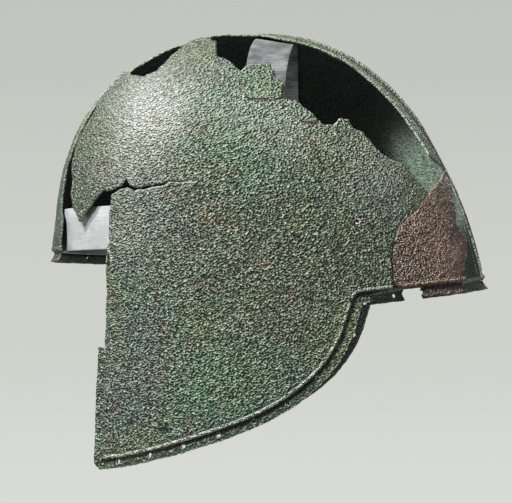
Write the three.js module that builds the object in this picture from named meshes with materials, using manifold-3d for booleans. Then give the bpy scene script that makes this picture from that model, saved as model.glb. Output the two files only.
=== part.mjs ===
// An open-faced sheet-bronze helmet with long cheekpieces, broken into fragments that a strip
// metal hoop and brow band hold in shape.
// Millimetres, +Z up. The front faces -Y and the wearer's left is +X. The skull is drawn about the
// brow line, and the whole group is then set down with its origin under the middle of the hoop.
// The intact helmet is made first, as one sheet with its border and crest, and then broken.
import * as THREE from "three";
import { mergeVertices } from "three/addons/utils/BufferGeometryUtils.js";
import Module from "manifold-3d";

const wasm = await Module();
wasm.setup();

// Overall sizes
const skullLength = 235;
const skullWidth = 184;
const domeHeight = 123; // brow line to crown
const cheekDrop = 112; // brow line to the tips of the cheekpieces
const napeDrop = 17; // brow line to the edge of the nape
const browDrop = 2; // brow line to the edge over the face
const cheekTuck = 8; // how far the cheekpieces draw in at their tips
const crownSetForward = 22;
const widestSetForward = 2;
const sheetThickness = 1.6;

// Exponents of the curves that round the skull: 2 is an ellipse, more is squarer
const planExponent = 2.1;
const frontCurve = { rise: 2.7, round: 1.7 };
const backCurve = { rise: 1.35, round: 2.74 };
const sideCurve = { rise: 2.2, round: 2.15 };
const tuckExponent = 1.4;

// Edge border: a bead, a groove and a lip turned outwards
const borderWidth = 6.5; // bead to edge
const beadWidth = 2.8;
const beadHeight = 1.1;
const lipFlare = 2.1;
const borderUnderlap = 1.3; // how far the border runs on inside the sheet
const innerStep = 0.25; // how far its inner face stands proud there
const tipRadius = 3.5;
const cornerRadius = 2.5;
const borderStep = 10.5; // spacing of the sections that make the border

// Small holes along the edge, and one by the ear
const perforationRadius = 1;
const perforationPitch = 20;
const firstPerforationShare = 0.06; // of the pitch, from the middle of the brow to the first
const earHoleRadius = 2;

// Crest: two low ridges with a plain channel between
const ridgeSpacing = 26;
const ridgeWidth = 4.2;
const ridgeHeight = 1.8;
const ridgeHeightAtBrow = 0.5;
const ridgeRiseShares = [0.4, 0.85]; // of the dome's height, where it rises over the face
const ridgeFront = 6; // height of its front end above the brow line
const ridgeBack = 8; // drop of its back end below the brow line

// Hoop and band inside
const hoopWidth = 21;
const hoopThickness = 1.6;
const hoopCentreY = 2.5;
const hoopFlat = 12; // length of the flat top
const hoopFoot = 1; // height of its feet above the brow line
const hoopStraight = 30; // height at which its legs start to bend in
const hoopClearance = 0.4; // to the sheet
const bandWidth = 22;
const bandThickness = 1.6;
const bandClearance = 1.1; // to the sheet over the face
const bandFoot = 4; // height of the band's lower edge above the brow line
const seatGap = 0.3; // between pieces that touch
const screwRadius = 1.5;
const screwHeadRadius = 3.1;
const screwHeadHeight = 1.7;
const screwSlotWidth = 0.8;
const screwSlotDepth = 0.7;
const screwPlay = 0.25;
const screwSpacing = 11;

// Room that cutting bodies have beyond what they cut
const overrun = 40;

// How finely curves are stepped
const skullColumns = 50;
const domeRows = 13;
const skirtRows = 7;
const roundSides = 8;
const screwSides = 24;

// Skull surface

function powerCurve(share, curve) {
  return Math.pow(Math.max(0, 1 - Math.pow(share, curve.rise)), 1 / curve.round);
}

// Front, back, half width and middle of the level section at a height.
function sectionAt(z) {
  const up = THREE.MathUtils.clamp(z / domeHeight, 0, 1);
  const upFromNape = THREE.MathUtils.clamp((z + napeDrop) / (domeHeight + napeDrop), 0, 1);
  const down = Math.max(0, -z / cheekDrop);
  const halfLength = skullLength / 2;
  return {
    front: -crownSetForward - (halfLength - crownSetForward) * powerCurve(up, frontCurve),
    back: -crownSetForward + (halfLength + crownSetForward) * powerCurve(upFromNape, backCurve),
    side: (skullWidth / 2) * powerCurve(up, sideCurve) - cheekTuck * Math.pow(down, tuckExponent),
    middle: -crownSetForward + (crownSetForward - widestSetForward) * (1 - up * up),
  };
}

function signedPower(value, exponent) {
  return Math.sign(value) * Math.pow(Math.abs(value), exponent);
}

// A point on the outside. Angle 0 is the wearer's left and a quarter turn is the back.
function skullPoint(angle, z) {
  const s = sectionAt(z);
  const along = signedPower(Math.sin(angle), 2 / planExponent);
  const reach = along < 0 ? s.middle - s.front : s.back - s.middle;
  return new THREE.Vector3(
    s.side * signedPower(Math.cos(angle), 2 / planExponent),
    s.middle + reach * along,
    z,
  );
}

// Half width of the outside at a place in the side view, 0 where it lies beyond the outline.
function skullHalfWidth(y, z) {
  const s = sectionAt(z);
  const reach = y < s.middle ? s.middle - s.front : s.back - s.middle;
  const share = Math.abs(y - s.middle) / reach;
  return share >= 1 ? 0 : s.side * Math.pow(1 - Math.pow(share, planExponent), 1 / planExponent);
}

function insideMeasure(p) {
  const s = sectionAt(p.z);
  const reach = p.y < s.middle ? s.middle - s.front : s.back - s.middle;
  return (
    Math.pow(Math.abs(p.x) / s.side, planExponent) +
    Math.pow(Math.abs(p.y - s.middle) / reach, planExponent)
  );
}

// Outward normal, by small steps in each direction.
function skullNormal(p) {
  if (p.z > domeHeight * 0.9999) return new THREE.Vector3(0, 0, 1);
  const step = domeHeight * 1e-5;
  const normal = new THREE.Vector3();
  for (const axis of ["x", "y", "z"]) {
    const ahead = p.clone();
    const behind = p.clone();
    ahead[axis] += step;
    behind[axis] -= step;
    normal[axis] = insideMeasure(ahead) - insideMeasure(behind);
  }
  return normal.normalize();
}

// Height of the outside over a place in the top view.
function skullTop(x, y) {
  let low = 0;
  let high = domeHeight;
  for (let i = 0; i < 40; i++) {
    const z = (low + high) / 2;
    if (insideMeasure(new THREE.Vector3(x, y, z)) < 1) low = z;
    else high = z;
  }
  return low;
}

// Solids

function solidOf(geometry) {
  const bare = geometry.clone();
  bare.deleteAttribute("normal");
  bare.deleteAttribute("uv");
  const merged = mergeVertices(bare);
  return new wasm.Manifold(
    new wasm.Mesh({
      numProp: 3,
      vertProperties: merged.attributes.position.array,
      triVerts: new Uint32Array(merged.index.array),
    }),
  );
}

function geometryOf(solid) {
  const mesh = solid.getMesh();
  const geometry = new THREE.BufferGeometry();
  geometry.setAttribute("position", new THREE.BufferAttribute(mesh.vertProperties, 3));
  geometry.setIndex(new THREE.BufferAttribute(mesh.triVerts, 1));
  const flat = geometry.toNonIndexed();
  flat.computeVertexNormals();
  return flat;
}

function geometryFrom(points, faces) {
  const geometry = new THREE.BufferGeometry().setFromPoints(points);
  geometry.setIndex(faces);
  return geometry;
}

// An outline in the plane of two axes, run out along the third between two places.
function prism(points, axis, from, to) {
  const frames = {
    x: [new THREE.Vector3(0, 1, 0), new THREE.Vector3(0, 0, 1), new THREE.Vector3(1, 0, 0)],
    y: [new THREE.Vector3(0, 0, 1), new THREE.Vector3(1, 0, 0), new THREE.Vector3(0, 1, 0)],
    z: [new THREE.Vector3(1, 0, 0), new THREE.Vector3(0, 1, 0), new THREE.Vector3(0, 0, 1)],
  };
  const shape = new THREE.Shape(points);
  const geometry = new THREE.ExtrudeGeometry(shape, { depth: to - from, bevelEnabled: false });
  geometry.translate(0, 0, from);
  geometry.applyMatrix4(new THREE.Matrix4().makeBasis(...frames[axis]));
  return solidOf(geometry);
}

// A bar with one closed section, given clockwise in (across, out), that follows stations in turn.
// Each station holds a point, its directions across and out, and how much of the height it has.
function sweep(section, stations, closed) {
  const points = [];
  for (const s of stations)
    for (const [across, out] of section) {
      const height = out > 0 ? out * s.rise : out;
      points.push(s.point.clone().addScaledVector(s.across, across).addScaledVector(s.out, height));
    }
  const sides = section.length;
  const faces = [];
  const spans = closed ? stations.length : stations.length - 1;
  for (let i = 0; i < spans; i++) {
    const next = (i + 1) % stations.length;
    for (let k = 0; k < sides; k++) {
      const a = i * sides + k;
      const b = i * sides + ((k + 1) % sides);
      const c = next * sides + ((k + 1) % sides);
      const d = next * sides + k;
      faces.push(a, b, c, a, c, d);
    }
  }
  if (!closed) {
    const outline = section.map(([across, out]) => new THREE.Vector2(across, out));
    const last = (stations.length - 1) * sides;
    for (const [a, b, c] of THREE.ShapeUtils.triangulateShape(outline, [])) {
      faces.push(a, b, c);
      faces.push(last + a, last + c, last + b);
    }
  }
  return geometryFrom(points, faces);
}

// Moves an open line sideways, to its left, by a distance.
function shiftLine(points, distance) {
  return points.map((p, i) => {
    const before = points[Math.max(i - 1, 0)];
    const after = points[Math.min(i + 1, points.length - 1)];
    const along = after.clone().sub(before).normalize();
    return new THREE.Vector2(p.x - along.y * distance, p.y + along.x * distance);
  });
}

// Side-view outlines are shares of the skull's length, and of the dome's height above the brow
// line or the cheekpieces' drop below it.
function sidePoint([lengthShare, heightShare]) {
  const scale = heightShare > 0 ? domeHeight : cheekDrop;
  return new THREE.Vector2(lengthShare * skullLength, heightShare * scale);
}

// Front-view outlines are shares of the half width, and of the same heights.
function frontPoint([widthShare, heightShare]) {
  const scale = heightShare > 0 ? domeHeight : cheekDrop;
  return new THREE.Vector2(heightShare * scale, (widthShare * skullWidth) / 2);
}

// Top-view outlines are shares of the half width and of the skull's length.
function topPoint([widthShare, lengthShare]) {
  return new THREE.Vector2((widthShare * skullWidth) / 2, lengthShare * skullLength);
}

// Edge of the intact helmet

const cheekFrontShares = [
  [-0.354, -0.02],
  [-0.363, -0.44],
  [-0.377, -1],
];
const cheekBackShares = [
  [-0.377, -1],
  [-0.3, -0.985],
  [-0.14, -0.897],
  [0.027, -0.762],
  [0.131, -0.606],
  [0.189, -0.442],
  [0.226, -0.225],
];
const neckEdgeShares = [
  [0.226, -0.225],
  [0.3, -0.206],
  [0.38, -0.188],
  [0.45, -0.17],
];

function onSkull(sideView) {
  return new THREE.Vector3(skullHalfWidth(sideView.x, sideView.y), sideView.x, sideView.y);
}

// Places along a line in the side view, at about the border's step, without its first and last.
function stepsAlong(points, trim) {
  const lifted = points.map((p) => new THREE.Vector3(p.x, p.y, 0));
  const curve = new THREE.CatmullRomCurve3(lifted, false, "centripetal");
  const length = curve.getLength();
  const count = Math.max(2, Math.round((length - 2 * trim) / borderStep));
  const places = [];
  for (let i = 0; i <= count; i++) {
    const p = curve.getPointAt((trim + ((length - 2 * trim) * i) / count) / length);
    places.push(new THREE.Vector2(p.x, p.y));
  }
  return places;
}

// Half of the edge, on the wearer's left, from the middle of the brow to the middle of the nape.
function edgeHalf() {
  const cheekFront = cheekFrontShares.map(sidePoint);
  const cheekBack = cheekBackShares.map(sidePoint);
  const neck = neckEdgeShares.map(sidePoint);
  const browCorner = cheekFront[0];
  const browSection = sectionAt(-browDrop);
  const browReach = browSection.middle - browSection.front;
  const cornerShare = (browSection.middle - browCorner.x) / browReach;
  const cornerAngle = -Math.asin(Math.pow(cornerShare, planExponent / 2));
  const browStart = -Math.PI / 2;
  const browEnd = cornerAngle - cornerRadius / browReach;
  const browSteps = Math.round((skullWidth / 2) / borderStep);
  const edge = [];
  for (let i = 0; i <= browSteps; i++)
    edge.push(skullPoint(browStart + ((browEnd - browStart) * i) / browSteps, -browDrop));
  for (const p of stepsAlong(cheekFront, cornerRadius)) edge.push(onSkull(p));
  edge.pop();
  edge.push(onSkull(cheekFront.at(-1)));
  const back = stepsAlong(cheekBack, cornerRadius);
  back.shift();
  for (const p of back) edge.push(onSkull(p));
  for (const p of stepsAlong(neck, cornerRadius)) edge.push(onSkull(p));
  const lastOnSide = edge.at(-1);
  const napeSection = sectionAt(-napeDrop);
  const startShare = (lastOnSide.y - napeSection.middle) / (napeSection.back - napeSection.middle);
  const startAngle = Math.asin(Math.pow(startShare, planExponent / 2));
  const napeSteps = Math.round((lastOnSide.x * 1.1) / borderStep);
  for (let i = 1; i <= napeSteps; i++) {
    const share = i / napeSteps;
    const z = THREE.MathUtils.lerp(lastOnSide.z, -napeDrop, Math.sin((share * Math.PI) / 2));
    edge.push(skullPoint(startAngle + (Math.PI / 2 - startAngle) * share, z));
  }
  edge[0].x = 0;
  edge.at(-1).x = 0;
  return edge;
}

// Both halves as one loop, with the directions out of the surface and across the border.
function edgeStations() {
  const left = edgeHalf();
  const right = left
    .slice(1, -1)
    .reverse()
    .map((p) => new THREE.Vector3(-p.x, p.y, p.z));
  const loop = [...left, ...right];
  return loop.map((point, i) => {
    const out = skullNormal(point);
    const arriving = point.clone().sub(loop.at(i - 1)).normalize();
    const leaving = loop[(i + 1) % loop.length].clone().sub(point).normalize();
    const halfTurn = arriving.angleTo(leaving) / 2;
    const along = arriving.add(leaving).normalize();
    const across = along.cross(out).normalize();
    out.normalize();
    return { point, out, rise: 1, across: across.multiplyScalar(1 / Math.cos(halfTurn)) };
  });
}

// Intact helmet

// A cup of sheet whose rim lies under the border's bead, with its pole at the crown.
function sheetBody(stations) {
  const lowest = -cheekDrop;
  const heights = [];
  for (let i = 0; i < skirtRows; i++) heights.push(lowest * (1 - i / skirtRows));
  for (let i = 0; i < domeRows; i++)
    heights.push(domeHeight * Math.sin((i / domeRows) * (Math.PI / 2)));
  const points = [];
  for (const depth of [0, sheetThickness])
    for (const z of heights)
      for (let j = 0; j < skullColumns; j++) {
        const p = skullPoint((j / skullColumns) * 2 * Math.PI, z);
        points.push(p.addScaledVector(skullNormal(p), -depth));
      }
  const outerPole = points.push(new THREE.Vector3(0, -crownSetForward, domeHeight)) - 1;
  const innerPole = outerPole + 1;
  points.push(new THREE.Vector3(0, -crownSetForward, domeHeight - sheetThickness));
  const inner = heights.length * skullColumns;
  const faces = [];
  const quad = (a, b, c, d) => faces.push(a, b, c, a, c, d);
  for (let j = 0; j < skullColumns; j++) {
    const k = (j + 1) % skullColumns;
    for (let i = 0; i + 1 < heights.length; i++) {
      const low = i * skullColumns;
      const high = low + skullColumns;
      quad(low + j, low + k, high + k, high + j);
      quad(inner + low + k, inner + low + j, inner + high + j, inner + high + k);
    }
    const top = (heights.length - 1) * skullColumns;
    faces.push(top + j, top + k, outerPole);
    faces.push(inner + top + k, inner + top + j, innerPole);
    quad(j, inner + j, inner + k, k);
  }
  const cup = solidOf(geometryFrom(points, faces));
  return cup.intersect(insideOfBead(stations));
}

// Everything above and behind the line of the bead, seen from the side.
function insideOfBead(stations) {
  const half = stations.slice(0, stations.findIndex((s, i) => i > 0 && s.point.x <= 0) + 1);
  const line = half.map((s) => {
    const bead = s.point.clone().addScaledVector(s.across, -borderWidth);
    return new THREE.Vector2(bead.y, bead.z);
  });
  const front = line[0];
  const back = line.at(-1);
  const outline = [
    new THREE.Vector2(front.x - overrun, front.y),
    ...line,
    new THREE.Vector2(back.x + overrun, back.y),
    new THREE.Vector2(back.x + overrun, domeHeight + overrun),
    new THREE.Vector2(front.x - overrun, domeHeight + overrun),
  ];
  return prism(outline, "x", -skullWidth, skullWidth);
}

// The border's section, clockwise from where it starts under the sheet's outside.
function borderSection() {
  const bead = -borderWidth;
  const start = bead - beadWidth / 2 - borderUnderlap;
  return [
    [start, -sheetThickness / 3],
    [bead - beadWidth / 2, 0],
    [bead - beadWidth / 5, beadHeight],
    [bead + beadWidth / 5, beadHeight],
    [bead + beadWidth / 2, 0],
    [-borderWidth / 3, lipFlare / 4],
    [0, lipFlare],
    [sheetThickness / 4, lipFlare - sheetThickness],
    [-borderWidth / 3, lipFlare / 4 - sheetThickness],
    [start, -sheetThickness - innerStep],
  ];
}

// Rounds the sharp lower corner of each cheekpiece.
function tipCutter() {
  const tip = sidePoint(cheekFrontShares.at(-1));
  const reach = tipRadius + lipFlare;
  const centre = new THREE.Vector2(tip.x + tipRadius, tip.y + tipRadius);
  const outline = [new THREE.Vector2(tip.x - reach, tip.y - reach)];
  outline.push(new THREE.Vector2(centre.x, tip.y - reach));
  for (let i = 0; i <= roundSides / 2; i++) {
    const angle = -Math.PI / 2 - (i / (roundSides / 2)) * (Math.PI / 2);
    const spoke = new THREE.Vector2(Math.cos(angle), Math.sin(angle));
    outline.push(spoke.multiplyScalar(tipRadius).add(centre));
  }
  outline.push(new THREE.Vector2(tip.x - reach, centre.y));
  return prism(outline, "x", -skullWidth, skullWidth);
}

// One ridge of the crest, which keeps its distance from the middle from brow to nape.
function crestRidge(x) {
  const peak = skullTopHeightAt(x);
  const stations = [];
  const place = (angle, isBack) => {
    const z = peak * Math.sin(angle);
    const s = sectionAt(z);
    const reach = isBack ? s.back - s.middle : s.front - s.middle;
    const narrowing = Math.min(1, Math.pow(Math.abs(x) / s.side, planExponent));
    const y = s.middle + reach * Math.pow(1 - narrowing, 1 / planExponent);
    const point = new THREE.Vector3(x, y, z);
    const risen = isBack ? 1 : THREE.MathUtils.smoothstep(z / peak, ...ridgeRiseShares);
    const rise = THREE.MathUtils.lerp(ridgeHeightAtBrow / ridgeHeight, 1, risen);
    stations.push({ point, rise, out: skullNormal(point), across: new THREE.Vector3(1, 0, 0) });
  };
  const steps = domeRows;
  const frontAngle = Math.asin(ridgeFront / peak);
  const backAngle = -Math.asin(ridgeBack / peak);
  for (let i = 0; i < steps; i++)
    place(THREE.MathUtils.lerp(frontAngle, Math.PI / 2, i / steps), false);
  for (let i = steps; i >= 0; i--)
    place(THREE.MathUtils.lerp(backAngle, Math.PI / 2, i / steps), true);
  const section = [
    [-ridgeWidth / 2, -sheetThickness / 2],
    [-ridgeWidth / 2, 0],
    [-ridgeWidth / 4, ridgeHeight],
    [ridgeWidth / 4, ridgeHeight],
    [ridgeWidth / 2, 0],
    [ridgeWidth / 2, -sheetThickness / 2],
  ];
  return solidOf(sweep(section, stations, false));
}

// Highest level at which the skull is still as wide as a place beside the middle.
function skullTopHeightAt(x) {
  const share = Math.abs(x) / (skullWidth / 2);
  const narrowing = Math.pow(share, sideCurve.round);
  return domeHeight * Math.pow(1 - narrowing, 1 / sideCurve.rise);
}

// A round cutting pin through the sheet.
function pinThrough(point, direction, radius, length, sides) {
  const geometry = new THREE.CylinderGeometry(radius, radius, length, sides);
  const turn = new THREE.Quaternion().setFromUnitVectors(new THREE.Vector3(0, 1, 0), direction);
  geometry.applyQuaternion(turn);
  geometry.translate(point.x, point.y, point.z);
  return solidOf(geometry);
}

// Holes in the groove of the border, evenly spaced all the way round.
function perforations(stations) {
  const groove = stations.map((s) => s.point.clone().addScaledVector(s.across, -borderWidth / 2));
  const path = new THREE.CatmullRomCurve3(groove, true, "centripetal");
  const count = 2 * Math.round(path.getLength() / perforationPitch / 2);
  const pins = [];
  for (let i = 0; i < count; i++) {
    const place = path.getPointAt((i + firstPerforationShare) / count);
    const out = skullNormal(place);
    pins.push(pinThrough(place, out, perforationRadius, 6 * sheetThickness, 6));
  }
  return wasm.Manifold.union(pins);
}

const earHoleShare = [0.216, 0.136];

function intactHelmet() {
  const stations = edgeStations();
  const earHole = prism(circleAt(sidePoint(earHoleShare), earHoleRadius), "x", 0, skullWidth);
  return sheetBody(stations)
    .add(solidOf(sweep(borderSection(), stations, true)))
    .add(crestRidge(ridgeSpacing / 2))
    .add(crestRidge(-ridgeSpacing / 2))
    .subtract(tipCutter())
    .subtract(perforations(stations))
    .subtract(earHole);
}

function circleAt(centre, radius) {
  const points = [];
  for (let i = 0; i < roundSides; i++) {
    const angle = (i / roundSides) * 2 * Math.PI;
    const spoke = new THREE.Vector2(Math.cos(angle), Math.sin(angle));
    points.push(spoke.multiplyScalar(radius).add(centre));
  }
  return points;
}

// Breaks. The right half keeps the crest, and its broken side runs down the left of it.

const frontBreakShares = [
  [0.39, -1.4],
  [0.39, 0.1],
  [0.37, 0.17],
  [0.33, 0.2],
  [0.3, 0.26],
  [0.31, 0.33],
  [0.28, 0.38],
  [0.27, 0.47],
  [0.24, 0.57],
  [0.17, 0.67],
  [0.12, 0.74],
  [0.1, 0.86],
  [0.1, 1.2],
];
const topBreakShares = [
  [0.1, -0.26],
  [0.07, -0.2],
  [0.09, -0.13],
  [0.05, -0.09],
  [0.07, -0.04],
  [0.17, -0.01],
  [0.23, 0.02],
  [0.25, 0.05],
  [0.24, 0.11],
  [0.27, 0.16],
  [0.28, 0.21],
];
const backBreakShares = [
  [0.28, 1.2],
  [0.28, 0.84],
  [0.31, 0.77],
  [0.32, 0.66],
  [0.34, 0.57],
  [0.33, 0.48],
  [0.34, 0.4],
  [0.27, 0.35],
  [0.13, 0.315],
  [0.04, 0.29],
  [0.05, 0.18],
  [0.02, 0.08],
  [0.04, -0.06],
  [0.04, -1.4],
];
const notchShares = [
  [0.308, -0.145],
  [0.316, -0.4],
  [0.352, -0.4],
  [0.356, -0.135],
];

// The space that the right half fills, grown towards the other fragments by a gap.
function rightSpace(gap) {
  const far = -skullWidth;
  const frontEnd = topBreakShares[0][1] * skullLength;
  const backEnd = topBreakShares.at(-1)[1] * skullLength;
  const front = frontBreakShares.map(frontPoint);
  const top = topBreakShares.map(topPoint);
  const back = backBreakShares.map(frontPoint);
  const widen = (p, dx, dy) => new THREE.Vector2(p.x + dx * gap, p.y + dy * gap);
  const frontOutline = [
    new THREE.Vector2(front[0].x, far),
    ...front.map((p) => widen(p, 0, 1)),
    new THREE.Vector2(front.at(-1).x, far),
  ];
  const topOutline = [
    new THREE.Vector2(far, frontEnd),
    ...top.map((p) => widen(p, 1, 0)),
    new THREE.Vector2(far, backEnd),
  ];
  const backOutline = [
    new THREE.Vector2(back[0].x, far),
    ...back.map((p) => widen(p, 0, 1)),
    new THREE.Vector2(back.at(-1).x, far),
  ];
  const reach = skullLength;
  const lap = gap + sheetThickness / 100;
  return prism(frontOutline, "y", -reach, frontEnd + lap)
    .add(prism(topOutline, "z", -skullWidth, skullWidth))
    .add(prism(backOutline, "y", backEnd - lap, reach));
}

// Seam between the left half and the nape fragment, from its top to the neck.
const seamShares = [
  [0.371, 0.264],
  [0.344, 0.185],
  [0.32, 0.145],
  [0.307, 0.119],
  [0.294, 0.055],
  [0.291, -0.023],
  [0.293, -0.13],
];
const leftTopShares = [
  [-0.415, 0.146],
  [-0.433, 0.204],
  [-0.443, 0.272],
  [-0.438, 0.33],
  [-0.444, 0.388],
  [-0.434, 0.515],
  [-0.394, 0.656],
  [-0.4, 0.78],
  [-0.36, 0.828],
  [-0.322, 0.822],
  [-0.311, 0.798],
  [-0.274, 0.782],
  [-0.244, 0.806],
  [-0.223, 0.853],
  [-0.198, 0.914],
  [-0.175, 0.96],
  [-0.153, 0.974],
  [-0.133, 0.961],
  [-0.112, 0.941],
  [-0.106, 0.861],
  [-0.083, 0.846],
  [-0.047, 0.787],
  [-0.037, 0.811],
  [-0.019, 0.821],
  [0.018, 0.822],
  [0.027, 0.764],
  [0.05, 0.737],
  [0.047, 0.663],
  [0.071, 0.655],
  [0.082, 0.646],
  [0.1, 0.62],
  [0.12, 0.585],
  [0.138, 0.546],
  [0.16, 0.547],
  [0.174, 0.575],
  [0.194, 0.572],
  [0.203, 0.537],
  [0.225, 0.521],
  [0.238, 0.491],
  [0.26, 0.439],
  [0.287, 0.402],
  [0.315, 0.388],
  [0.333, 0.346],
  [0.359, 0.296],
];
const leftNeckShares = [
  [0.29, -0.172],
  [0.252, -0.184],
  [0.244, -0.2],
  [0.24, -0.3],
];
const leftFrontShares = [
  [-0.45, -0.42],
  [-0.35, -0.431],
  [-0.345, -0.211],
  [-0.346, -0.001],
  [-0.336, 0.054],
  [-0.34, 0.071],
  [-0.338, 0.165],
  [-0.334, 0.255],
];
// The crack runs in from the broken front edge: its lower lip inwards, then its upper lip back.
const crackShares = [
  [-0.314, 0.279],
  [-0.295, 0.282],
  [-0.278, 0.272],
  [-0.253, 0.275],
  [-0.218, 0.284],
  [-0.198, 0.302],
  [-0.164, 0.3],
  [-0.135, 0.306],
  [-0.164, 0.307],
  [-0.196, 0.311],
  [-0.214, 0.299],
  [-0.246, 0.292],
  [-0.271, 0.281],
  [-0.29, 0.291],
  [-0.3, 0.321],
  [-0.312, 0.289],
  [-0.334, 0.277],
  [-0.351, 0.274],
  [-0.356, 0.278],
  [-0.374, 0.241],
  [-0.391, 0.204],
];

function leftOutline() {
  const belowTips = -cheekDrop - overrun;
  return [
    ...leftTopShares.map(sidePoint),
    ...shiftLine(seamShares.map(sidePoint), -seatGap / 2),
    ...leftNeckShares.map(sidePoint),
    new THREE.Vector2(sidePoint(leftNeckShares.at(-1)).x, belowTips),
    new THREE.Vector2(sidePoint(leftFrontShares[0]).x, belowTips),
    ...leftFrontShares.map(sidePoint),
    ...crackShares.map(sidePoint),
  ];
}

const napeTopShares = [
  [0.392, 0.315],
  [0.412, 0.365],
  [0.55, 0.42],
];
const napeFlangeShares = [
  [0.55, -0.4],
  [0.352, -0.4],
  [0.354, -0.193],
  [0.361, -0.158],
  [0.357, -0.15],
  [0.341, -0.161],
  [0.311, -0.163],
  [0.302, -0.147],
];
const napeSideShares = [
  [0.45, -0.4],
  [0.45, -0.13],
  [0.42, -0.04],
  [0.35, 0.013],
  [0.305, 0.084],
  [0.32, 0.109],
  [0.39, 0.138],
  [0.3, 0.224],
  [0.2, 0.29],
  [0.19, 0.5],
];

// The brown fragment at the back: its side view, and in the front view its free inner edge.
function napeSpace() {
  const outline = [
    ...napeTopShares.map(sidePoint),
    ...napeFlangeShares.map(sidePoint),
    ...shiftLine(seamShares.map(sidePoint), seatGap / 2).reverse(),
  ];
  const innerEdge = napeSideShares.map(frontPoint);
  const frontOutline = [
    ...innerEdge,
    new THREE.Vector2(innerEdge.at(-1).x, skullWidth),
    new THREE.Vector2(innerEdge[0].x, skullWidth),
  ];
  const frontPrism = prism(frontOutline, "y", 0, skullLength);
  return prism(outline, "x", 0, skullWidth).intersect(frontPrism);
}

// Two chips that were glued back along the broken edge of the left half.
const crownChipShares = [
  [-0.049, 0.8],
  [-0.049, 0.9],
  [0.06, 0.9],
  [0.06, 0.664],
  [0.02, 0.656],
  [-0.03, 0.662],
  [-0.042, 0.71],
];
const templeChipShares = [
  [0.078, 0.7],
  [0.132, 0.7],
  [0.132, 0.566],
  [0.118, 0.555],
  [0.09, 0.562],
  [0.083, 0.6],
];

function chipSpace(shares, gap) {
  const outline = shares.map(sidePoint);
  const closing = [outline.at(-1), ...outline, outline[0]];
  const shifted = closing.slice(1, -1).map((p, i) => {
    const along = closing[i + 2].clone().sub(closing[i]).normalize();
    return new THREE.Vector2(p.x - along.y * gap, p.y + along.x * gap);
  });
  return prism(shifted, "x", 0, skullWidth);
}

function fragments() {
  const intact = intactHelmet();
  const besideRight = intact.subtract(rightSpace(seatGap));
  const notch = prism(notchShares.map(sidePoint), "x", -skullWidth, 0);
  const left = besideRight.intersect(prism(leftOutline(), "x", 0, skullWidth));
  return {
    right_half: intact.intersect(rightSpace(0)).subtract(notch),
    left_half: left
      .subtract(chipSpace(crownChipShares, seatGap))
      .subtract(chipSpace(templeChipShares, seatGap)),
    crown_chip: left.intersect(chipSpace(crownChipShares, 0)),
    temple_chip: left.intersect(chipSpace(templeChipShares, 0)),
    nape_fragment: besideRight.intersect(napeSpace()),
  };
}

// Hoop and band

const hoopBackY = hoopCentreY + hoopWidth / 2;
const hoopFrontY = hoopCentreY - hoopWidth / 2;
const sheetRoom = sheetThickness + hoopClearance;
const hoopTop = skullTop(hoopFlat / 2, hoopBackY) - sheetRoom;

// Outer line of one leg from the foot up, kept clear of the sheet at both edges of the strip.
function hoopLegLine() {
  const places = [];
  const bendTop = skullTop(hoopFlat / 2, hoopBackY);
  const rows = domeRows;
  for (let i = 0; i < rows; i++) {
    const angle = THREE.MathUtils.lerp(Math.asin(hoopStraight / bendTop), Math.PI / 2, i / rows);
    const z = bendTop * Math.sin(angle);
    const y = skullHalfWidth(hoopBackY, z) < skullHalfWidth(hoopFrontY, z) ? hoopBackY : hoopFrontY;
    const p = new THREE.Vector3(skullHalfWidth(y, z), y, z);
    const out = skullNormal(p);
    const flat = new THREE.Vector2(out.x, out.z).normalize().multiplyScalar(sheetRoom);
    places.push(new THREE.Vector2(p.x - flat.x, p.z - flat.y));
  }
  const rounded = places.filter((p) => p.x > hoopFlat / 2 + hoopThickness && p.y < hoopTop);
  return [new THREE.Vector2(rounded[0].x, hoopFoot), ...rounded];
}

function hoopLine() {
  const left = hoopLegLine();
  left.push(new THREE.Vector2(hoopFlat / 2, hoopTop));
  const right = left.map((p) => new THREE.Vector2(-p.x, p.y)).reverse();
  return [...left, ...right];
}

const legInnerX = hoopLegLine()[0].x - hoopThickness;

// Screw places on the wearer's left: the middle of the band where it laps the leg.
function screwHeights() {
  const middle = bandFoot + bandWidth / 2;
  return [middle - screwSpacing / 2, middle + screwSpacing / 2];
}

function screwHole(side, z) {
  const point = new THREE.Vector3(side * legInnerX, hoopCentreY, z);
  const along = new THREE.Vector3(1, 0, 0);
  return pinThrough(point, along, screwRadius + screwPlay, overrun, screwSides);
}

function crownHoop() {
  const outer = hoopLine();
  const inner = shiftLine(outer, hoopThickness);
  const flatHalf = hoopFlat / 2;
  for (const p of inner)
    if (Math.abs(p.x) <= flatHalf) p.y = hoopTop - hoopThickness;
  inner[0].y = hoopFoot;
  inner.at(-1).y = hoopFoot;
  const outline = [...outer, ...inner.reverse()].map((p) => new THREE.Vector2(p.y, p.x));
  let strip = prism(outline, "y", hoopFrontY, hoopBackY);
  for (const side of [1, -1])
    for (const z of screwHeights()) strip = strip.subtract(screwHole(side, z));
  return strip;
}

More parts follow.
